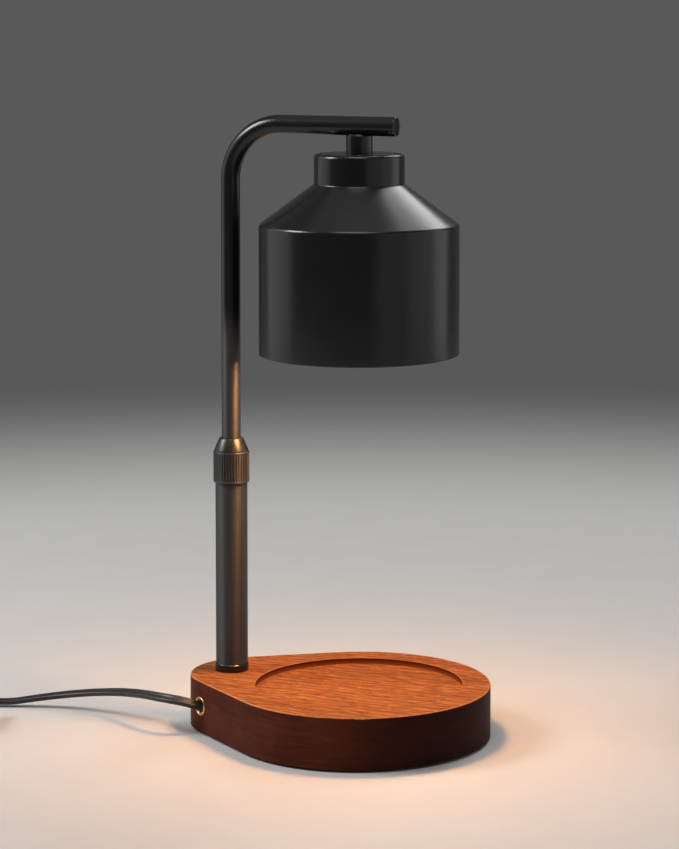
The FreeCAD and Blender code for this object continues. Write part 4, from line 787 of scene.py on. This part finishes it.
def make_arm():
    """Arm's tube: the rubbed upright, then the bend and the level run, hollow all along."""
    bore = 3.85
    around_tube, along_bend, along_run = 96, 32, 12
    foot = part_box("bent_arm")[0][2] / MM
    upper = ARM_LEVEL - ARM_BEND
    outline = [(bore, foot), (ARM_RADIUS - 0.3, foot), (ARM_RADIUS, foot + 0.3)]
    outline += [(ARM_RADIUS, upper), (bore, upper)]
    stem = turned("upright_tube", outline, upright(POLE_X), steps=around_tube, sharp=30)
    add_piece(stem, "arm", "black_lacquer", TUBE_BLACK, "bent_arm")
    path = []
    for step in range(along_bend + 1):
        turn = math.radians(90 * step / along_bend)
        x, z = ARM_BEND * (1 - math.cos(turn)), upper + ARM_BEND * math.sin(turn)
        path.append((x, z, turn))
    for step in range(1, along_run + 1):
        path.append((ARM_BEND + ARM_RUN * step / along_run, ARM_LEVEL, math.pi / 2))
    made = bmesh.new()
    walls = []
    for radius in (ARM_RADIUS, bore):
        skin = []
        for x, z, turn in path:
            ring = []
            for step in range(around_tube):
                angle = math.tau * step / around_tube
                out, y = radius * math.cos(angle), radius * math.sin(angle)
                spot = Vector((x - out * math.cos(turn), y, z + out * math.sin(turn)))
                ring.append(made.verts.new(upright(POLE_X) @ (spot * MM)))
            skin.append(ring)
        walls.append(skin)
    strips = [pair for skin in walls for pair in zip(skin, skin[1:])]
    strips += [(walls[0][end], walls[1][end]) for end in (0, -1)]
    for low, high in strips:
        bridge(made, low, high)
    run = finished_mesh("bent_tube", made, 30)
    add_piece(run, "arm", "black_lacquer", BLACK, "bent_arm")


def make_end_cap():
    """Pressed cap in the arm's open end, with a soft rim round a flat face."""
    rim = 0.6
    outline = [(0.0, -1.0), (3.8, -1.0), (3.8, 0.02), (ARM_RADIUS, 0.02)]
    for step in range(7):
        turn = math.radians(15 * step)
        outline.append((ARM_RADIUS - rim + rim * math.cos(turn), 0.2 + 0.55 * math.sin(turn)))
    outline += [(4.0, 0.72), (3.85, 0.66), (2.0, 0.64), (0.0, 0.64)]
    end = Vector((POLE_X + (ARM_BEND + ARM_RUN) * MM, 0, ARM_LEVEL * MM))
    place = facing(end, Vector((1, 0, 0)))
    cap = turned("pressed_end_cap", outline, place, closed=False, steps=72, sharp=50)
    add_piece(cap, "arm", "black_lacquer", CAP_BLACK, "arm_end_cap")


def make_clamp_nut():
    """Clamp nut: upright ribs between two plain beads, then a smooth cone up to the arm."""
    outline = [
        (8.15, 122.3), (8.70, 122.3), (8.95, 122.45), (9.0, 122.8), (9.0, 123.1),
        (8.98, 123.35, 1), (8.98, 136.95, 1), (9.0, 137.2), (8.98, 137.6), (8.80, 137.85),
        (8.62, 137.9), (8.60, 138.1), (8.60, 138.35), (8.45, 138.7), (6.05, 144.2),
        (5.80, 144.5), (5.55, 144.6), (5.0, 144.6), (5.0, 143.8), (6.3, 136.0), (8.15, 136.0),
    ]
    nut = turned("ribbed_clamp_nut", outline, upright(POLE_X), ribs=40, depth=0.36, sharp=34)
    add_piece(nut, "collar", "black_lacquer", CLAMP_BLACK, "clamp_nut")


def make_eyelet():
    """Brass eyelet with a rolled lip round the cord."""
    outline = [(3.2, -9.0), (3.7, -9.0), (3.7, -0.1), (4.55, -0.05)]
    for step in range(7):
        angle = math.radians(-60 + 40 * step)
        outline.append((4.25 + 0.5 * math.cos(angle), 0.15 + 0.45 * math.sin(angle)))
    outline += [(3.55, 0.2), (3.3, -0.2), (3.2, -0.8)]
    outward = along(OUTLET_HEADING)
    place = facing(OUTLET - outward * 0.0006, outward)
    eyelet = turned("rolled_eyelet", outline, place, steps=72, sharp=60)
    return add_piece(eyelet, "base", "brass", BRASS, "cord_eyelet")


def make_front_glass():
    """Slightly domed front glass of the bulb."""
    low, thick, radius = 210.7, 2.35, 23.55
    outline = [(0.0, low)]
    for step in range(1, 13):
        share = step / 12
        outline.append((radius * share, low + 0.75 * share ** 2.4))
    outline += [(radius + 0.03, low + thick), (0.0, low + thick)]
    glass = turned("front_glass", outline, upright(SHADE_X), closed=False)
    add_piece(glass, "bulb", "clear_glass", SLOT_FINISHES["clear_glass"], "bulb_lens")


def make_reflector():
    """Reflector bowl of the bulb: a smooth flare from the foot to a plain rim."""
    outer, inner = [], []
    for step in range(15):
        share = step / 14
        radius = 10.6 + 14.2 * math.sin(share * math.pi / 2) ** 0.95
        height = 248.65 - 34.8 * (1 - math.cos(share * math.pi / 2)) ** 0.62 * share ** 0.15
        outer.append((radius, height))
        inner.append((max(radius - 1.2, 9.0), height - 0.2))
    rim = [(24.8, 212.0), (24.6, 210.85), (24.3, 210.65), (23.9, 210.65), (23.6, 211.0)]
    outline = outer + rim + [(23.6, 213.2)] + inner[::-1]
    bowl = turned("reflector_bowl", outline, upright(SHADE_X), sharp=35)
    finish = SLOT_FINISHES["reflector_glass"]
    add_piece(bowl, "bulb", "reflector_glass", finish, "bulb_reflector")


def rounded_plate(half_long, half_wide, corner, z):
    """Points round a rectangle with round corners, in millimetres, at a height."""
    points = []
    for x, y, start in ((1, 1, 0), (-1, 1, 90), (-1, -1, 180), (1, -1, 270)):
        middle_x, middle_y = x * (half_long - corner), y * (half_wide - corner)
        for step in range(9):
            turn = math.radians(start + 90 * step / 8)
            out_x, out_y = corner * math.cos(turn), corner * math.sin(turn)
            points.append((middle_x + out_x, middle_y + out_y, z))
    return points


def make_dimmer_cover():
    """Dimmer's upper shell, with a shadow gap at the joint and soft upper edges, and its ticks."""
    place = upright(DIMMER_MIDDLE.x, DIMMER_MIDDLE.y) @ swung(DIMMER_HEADING)
    half_long, half_wide, corner = 25, 13, 7
    rows = [(0.4, 7.05), (0.4, 7.35), (0.05, 7.5), (0.0, 7.8), (0.0, 13.6), (0.12, 14.4)]
    rows += [(0.5, 15.1), (1.1, 15.6), (1.9, 15.9), (2.9, 16.0)]
    rings = []
    for inset, z in rows:
        plate = rounded_plate(half_long - inset, half_wide - inset, corner - inset, z)
        rings.append([place @ (Vector(spot) * MM) for spot in plate])
    cover = lofted("dimmer_upper_shell", rings, sharp=45)
    add_piece(cover, "base", "black_plastic", PLASTIC, "dimmer_cover")
    made = bmesh.new()
    sweep, gaps, reach = 270, 10, 11.3
    for tick in range(gaps + 1):
        long = 1.5 if tick in (0, gaps) else 0.9
        out = Matrix.Translation((reach * MM + long * MM / 2, 0, 15.98 * MM))
        size = Matrix.Diagonal((long * MM, 0.35 * MM, 0.24 * MM, 1))
        turn = swung(-45 + sweep / gaps * tick)
        bmesh.ops.create_cube(made, size=1.0, matrix=place @ turn @ out @ size)
    bmesh.ops.bevel(made, geom=made.edges[:], offset=0.08 * MM, segments=1, affect="EDGES")
    ticks = finished_mesh("dimmer_scale", made, 30)
    add_piece(ticks, "base", "black_plastic", MARKING)
    return cover, ticks


def make_knob():
    """Dimmer's knob: ribbed side, dished top and a white pointer."""
    outline = [
        (0.0, 16.4), (9.2, 16.4), (9.8, 16.5, 0.3), (10.0, 16.9, 1), (9.75, 21.9, 1),
        (9.45, 22.7, 0.4), (9.0, 23.2), (8.5, 23.38), (7.9, 23.4), (7.0, 23.2), (5.0, 22.95),
        (2.5, 22.82), (0.0, 22.8),
    ]
    place = upright(DIMMER_MIDDLE.x, DIMMER_MIDDLE.y)
    knob = turned("ribbed_knob", outline, place, closed=False, ribs=36, depth=0.5, sharp=38)
    add_piece(knob, "dial", "black_plastic", PLASTIC, "dimmer_knob")
    made = bmesh.new()
    way = place @ swung(DIMMER_HEADING + 90)
    size = Matrix.Diagonal((5.2 * MM, 1.0 * MM, 0.7 * MM, 1))
    out = Matrix.Translation((6.0 * MM, 0, 22.95 * MM))
    bmesh.ops.create_cube(made, size=1.0, matrix=way @ out @ size)
    bmesh.ops.bevel(made, geom=made.edges[:], offset=0.25 * MM, segments=3, affect="EDGES")
    pointer = finished_mesh("knob_pointer", made, 40)
    add_piece(pointer, "dial", "black_plastic", MARKING)
    return knob, pointer


def make_sleeves():
    """Dimmer's two tapered cord sleeves, each with three rings to let it bend."""
    outline = [(2.75, -3.0), (3.3, -3.0), (3.3, 0.0), (4.2, 0.0), (4.2, 1.0)]
    for ring in range(3):
        z = 1.2 + ring * 1.5
        crest = 3.84 - 0.26 * ring
        root = crest - 0.45
        outline += [(root, z), (root, z + 0.5), (crest, z + 0.7), (crest, z + 1.3)]
    outline += [(3.15, 5.9), (2.9, 6.0), (2.75, 5.9)]
    long = 0.006
    made = []
    for name, spot, way in (
        ("dimmer_sleeve_in", DIMMER_ENTRY + DIMMER_AXIS * long, -DIMMER_AXIS),
        ("dimmer_sleeve_out", DIMMER_EXIT - DIMMER_AXIS * long, DIMMER_AXIS),
    ):
        sleeve = turned(name, outline, facing(spot, way), steps=48, sharp=40)
        made.append(add_piece(sleeve, "base", "black_plastic", PLASTIC, "dimmer_sleeves"))
    return made


def make_plug():
    """Moulded plug: ringed neck, rounded shoulders and finger grips, with a flat face.

    Each row is a place along the plug, its half width, its half thickness and how square it is.
    """
    oval = 2.0
    rows = [(0.0, 3.3, 2.7, oval), (0.3, 3.7, 3.1, oval)]
    for ring in range(4):
        x = 0.9 + ring * 2.0
        wide, thick = 3.75 + 0.18 * ring, 3.5 + 0.22 * ring
        rows += [(x, wide, thick, oval), (x + 0.9, wide, thick, oval)]
        rows.append((x + 1.1, wide - 0.5, thick - 0.5, oval))
        rows.append((x + 1.7, wide - 0.45, thick - 0.45, oval))
    rows += [(9.1, 5.0, 4.5, 2.3), (9.6, 6.6, 5.0, 2.6)]
    rows += [(10.4, 8.0, 5.4, 3.0), (11.6, 9.0, 5.75, 3.6)]
    for grip in range(4):
        x = 13.0 + grip * 2.6
        rows += [(x, 9.55, 5.9, 4.2), (x + 0.9, 9.55, 5.9, 4.2)]
        rows += [(x + 1.15, 8.95, 5.9, 4.2), (x + 1.9, 8.95, 5.9, 4.2)]
    rows += [(23.6, 9.6, 5.95, 4.6), (24.4, 10.0, 6.0, 5.0), (28.2, 10.0, 6.0, 5.0)]
    rows += [(28.7, 9.8, 5.8, 5.0), (29.0, 9.3, 5.3, 5.0)]
    rings = []
    for x, wide, thick, power in rows:
        ring = []
        for step in range(64):
            turn = math.tau * step / 64
            across, lift = math.cos(turn), math.sin(turn)
            y = math.copysign(abs(across) ** (2 / power), across) * wide
            z = math.copysign(abs(lift) ** (2 / power), lift) * thick
            ring.append(PLUG_PLACE @ (Vector((x, y, z)) * MM))
        rings.append(ring)
    plug = lofted("moulded_plug", rings, sharp=42)
    return add_piece(plug, "base", "black_plastic", PLASTIC, "plug_body")


def make_blades():
    """Two folded brass blades with round tips and the usual small hole."""
    half_gap, half_thick, hole_at, hole_radius = 6.35, 0.75, 42.0, 1.5
    outline = [(29.0, -3.17), (44.6, -3.17), (45.7, -2.3), (46.0, -1.2)]
    outline += [(46.0, 1.2), (45.7, 2.3), (44.6, 3.17), (29.0, 3.17)]
    hole = []
    for step in range(24):
        turn = math.tau * step / 24
        hole.append((hole_at + hole_radius * math.cos(turn), hole_radius * math.sin(turn)))
    made = bmesh.new()
    for side in (-1, 1):
        other_rims = []
        for across in (-half_thick, half_thick):
            y = side * half_gap + across
            rims, edges = [], []
            for path in (outline, hole):
                rim = [made.verts.new(PLUG_PLACE @ (Vector((x, y, z)) * MM)) for x, z in path]
                for i, corner in enumerate(rim):
                    edges.append(made.edges.new((corner, rim[(i + 1) % len(rim)])))
                rims.append(rim)
            for rim, other_rim in zip(rims, other_rims):
                bridge(made, rim, other_rim)
            bmesh.ops.triangle_fill(made, use_beauty=True, edges=edges)
            other_rims = rims
    blades = finished_mesh("plug_contact_blades", made, 30)
    return add_piece(blades, "base", "brass", BRASS, "plug_blades")


def make_plate_screws():
    """Wood screws of the plate: shallow pan heads with a cross recess."""
    disc_middle, lobe_middle = Vector((SHADE_X, 0, 0)), Vector((POLE_X + 0.012, 0, 0))
    plate_face = 0.0012
    spots = [around(disc_middle, degrees, 0.056, plate_face) for degrees in (45, -45)]
    spots += [around(lobe_middle, degrees, 0.0225, plate_face) for degrees in (88, -88)]
    made = bmesh.new()
    for number, spot in enumerate(spots):
        outline = [(0.0, 0.0), (2.2, 0.0), (2.65, 0.25), (2.75, 0.6), (2.75, 1.5), (1.5, 1.5)]
        for thread in range(5):
            z = 1.9 + thread * 1.1
            outline += [(1.15, z), (1.5, z + 0.35), (1.15, z + 0.7)]
        outline += [(0.7, 8.0), (0.0, 9.0)]
        blank = Matrix.Translation(spot)
        screw = turned("screw_blank", outline, blank, closed=False, steps=40, sharp=30)
        cutter = bmesh.new()
        slit = Matrix.Diagonal((3.2 * MM, 0.65 * MM, 1.6 * MM, 1))
        for turn in (30 + 50 * number, 120 + 50 * number):
            bmesh.ops.create_cube(cutter, size=1.0, matrix=blank @ swung(turn) @ slit)
        cut_away(screw, finished_mesh("cross_cutter", cutter, 30), "cross_recess")
        made.from_mesh(screw.data)
        bpy.data.objects.remove(screw)
    screws = finished_mesh("cross_recess_screws", made, 30)
    add_piece(screws, "base", "zinc_steel", ZINC, "plate_screws")


# ---------------------------------------------------------------------------------------------
# Floor and light
# ---------------------------------------------------------------------------------------------
def pale_floor():
    """Plain pale floor that thins out into the even background far from the lamp."""
    paper = Finish("pale_floor")
    full_until, gone_at = 0.55, 1.25
    here = paper.node("TexCoord", {}, {}, "Object")
    x, y = paper.axis(here, "X"), paper.axis(here, "Y")
    reach = (x ** 2 + y ** 2) ** 0.5
    mottle = paper.noise(here, 30.0, 2.0)
    color = paper.blend(mottle, (0.53, 0.525, 0.515), (0.56, 0.555, 0.545))
    return paper.surface(color, 0.75, Alpha=1 - reach.step(full_until, gone_at))


def make_floor():
    """Round floor, a hair below the feet so that the two never share a plane."""
    hair = 0.00002
    made = bmesh.new()
    bmesh.ops.create_circle(made, cap_ends=True, segments=96, radius=3.2)
    floor = finished_mesh("studio_floor", made, 30)
    floor.location = (0, 0, -hair)
    floor.data.materials.append(pale_floor())


def add_lamp(name, spot, aim, size, power):
    """A soft box with its long side upright or level, never rolled."""
    light = bpy.data.lights.new(name, "AREA")
    light.shape = "RECTANGLE"
    light.size, light.size_y = size
    light.energy = power
    lamp = bpy.data.objects.new(name, light)
    way = (Vector(aim) - Vector(spot)).to_track_quat("-Z", "Y")
    lamp.matrix_world = Matrix.Translation(spot) @ way.to_matrix().to_4x4()
    bpy.context.scene.collection.objects.link(lamp)


def light_studio():
    """Tall soft boxes in a ring, a strip high at the back, a high fill and two lights overhead."""
    world = bpy.data.worlds.new("even_surround")
    world.use_nodes = True
    surround = world.node_tree.nodes["Background"]
    surround.inputs["Color"].default_value = (0.10, 0.10, 0.102, 1)
    surround.inputs["Strength"].default_value = 1.0
    bpy.context.scene.world = world
    middle = (0, 0, 0.17)
    for name, degrees, width, power in (
        ("left_soft_box", 190, 1.05, 2.3),
        ("right_back_soft_box", 38, 0.62, 1.85),
        ("right_soft_box", 6, 0.80, 1.20),
        ("right_front_soft_box", -30, 0.80, 0.70),
    ):
        spot = along(degrees) * 1.25 + Vector((0, 0, 0.45))
        add_lamp(name, spot, middle, (width, 1.1), power)
    add_lamp("high_back_strip", (0.17, 0.995, 1.30), (0.012, 0, 0.26), (0.42, 0.95), 6.5)
    add_lamp("high_left_fill", (-1.00, -0.466, 1.03), middle, (0.5, 0.5), 12.0)
    add_lamp("overhead_key", (0.12, -0.50, 1.70), (0, 0, 0), (0.8, 0.8), 6.2)
    add_lamp("ceiling_panel", (-0.10, 0.0, 1.70), (-0.10, 0.001, 0), (1.6, 1.6), 1.6)


set_camera()
base_lead, base_line, plug_lead, plug_line = make_cords()
finish_solids()
make_arm()
make_shade()
make_end_cap()
make_clamp_nut()
eyelet = make_eyelet()
make_front_glass()
make_reflector()
cover, scale_ticks = make_dimmer_cover()
knob, pointer = make_knob()
sleeves = make_sleeves()
plug = make_plug()
blades = make_blades()
make_plate_screws()
make_floor()
light_studio()
bpy.context.scene.view_settings.view_transform = "Standard"


def corners(box):
    """A box's two corners as plain lists."""
    return [[float(number) for number in corner] for corner in box]
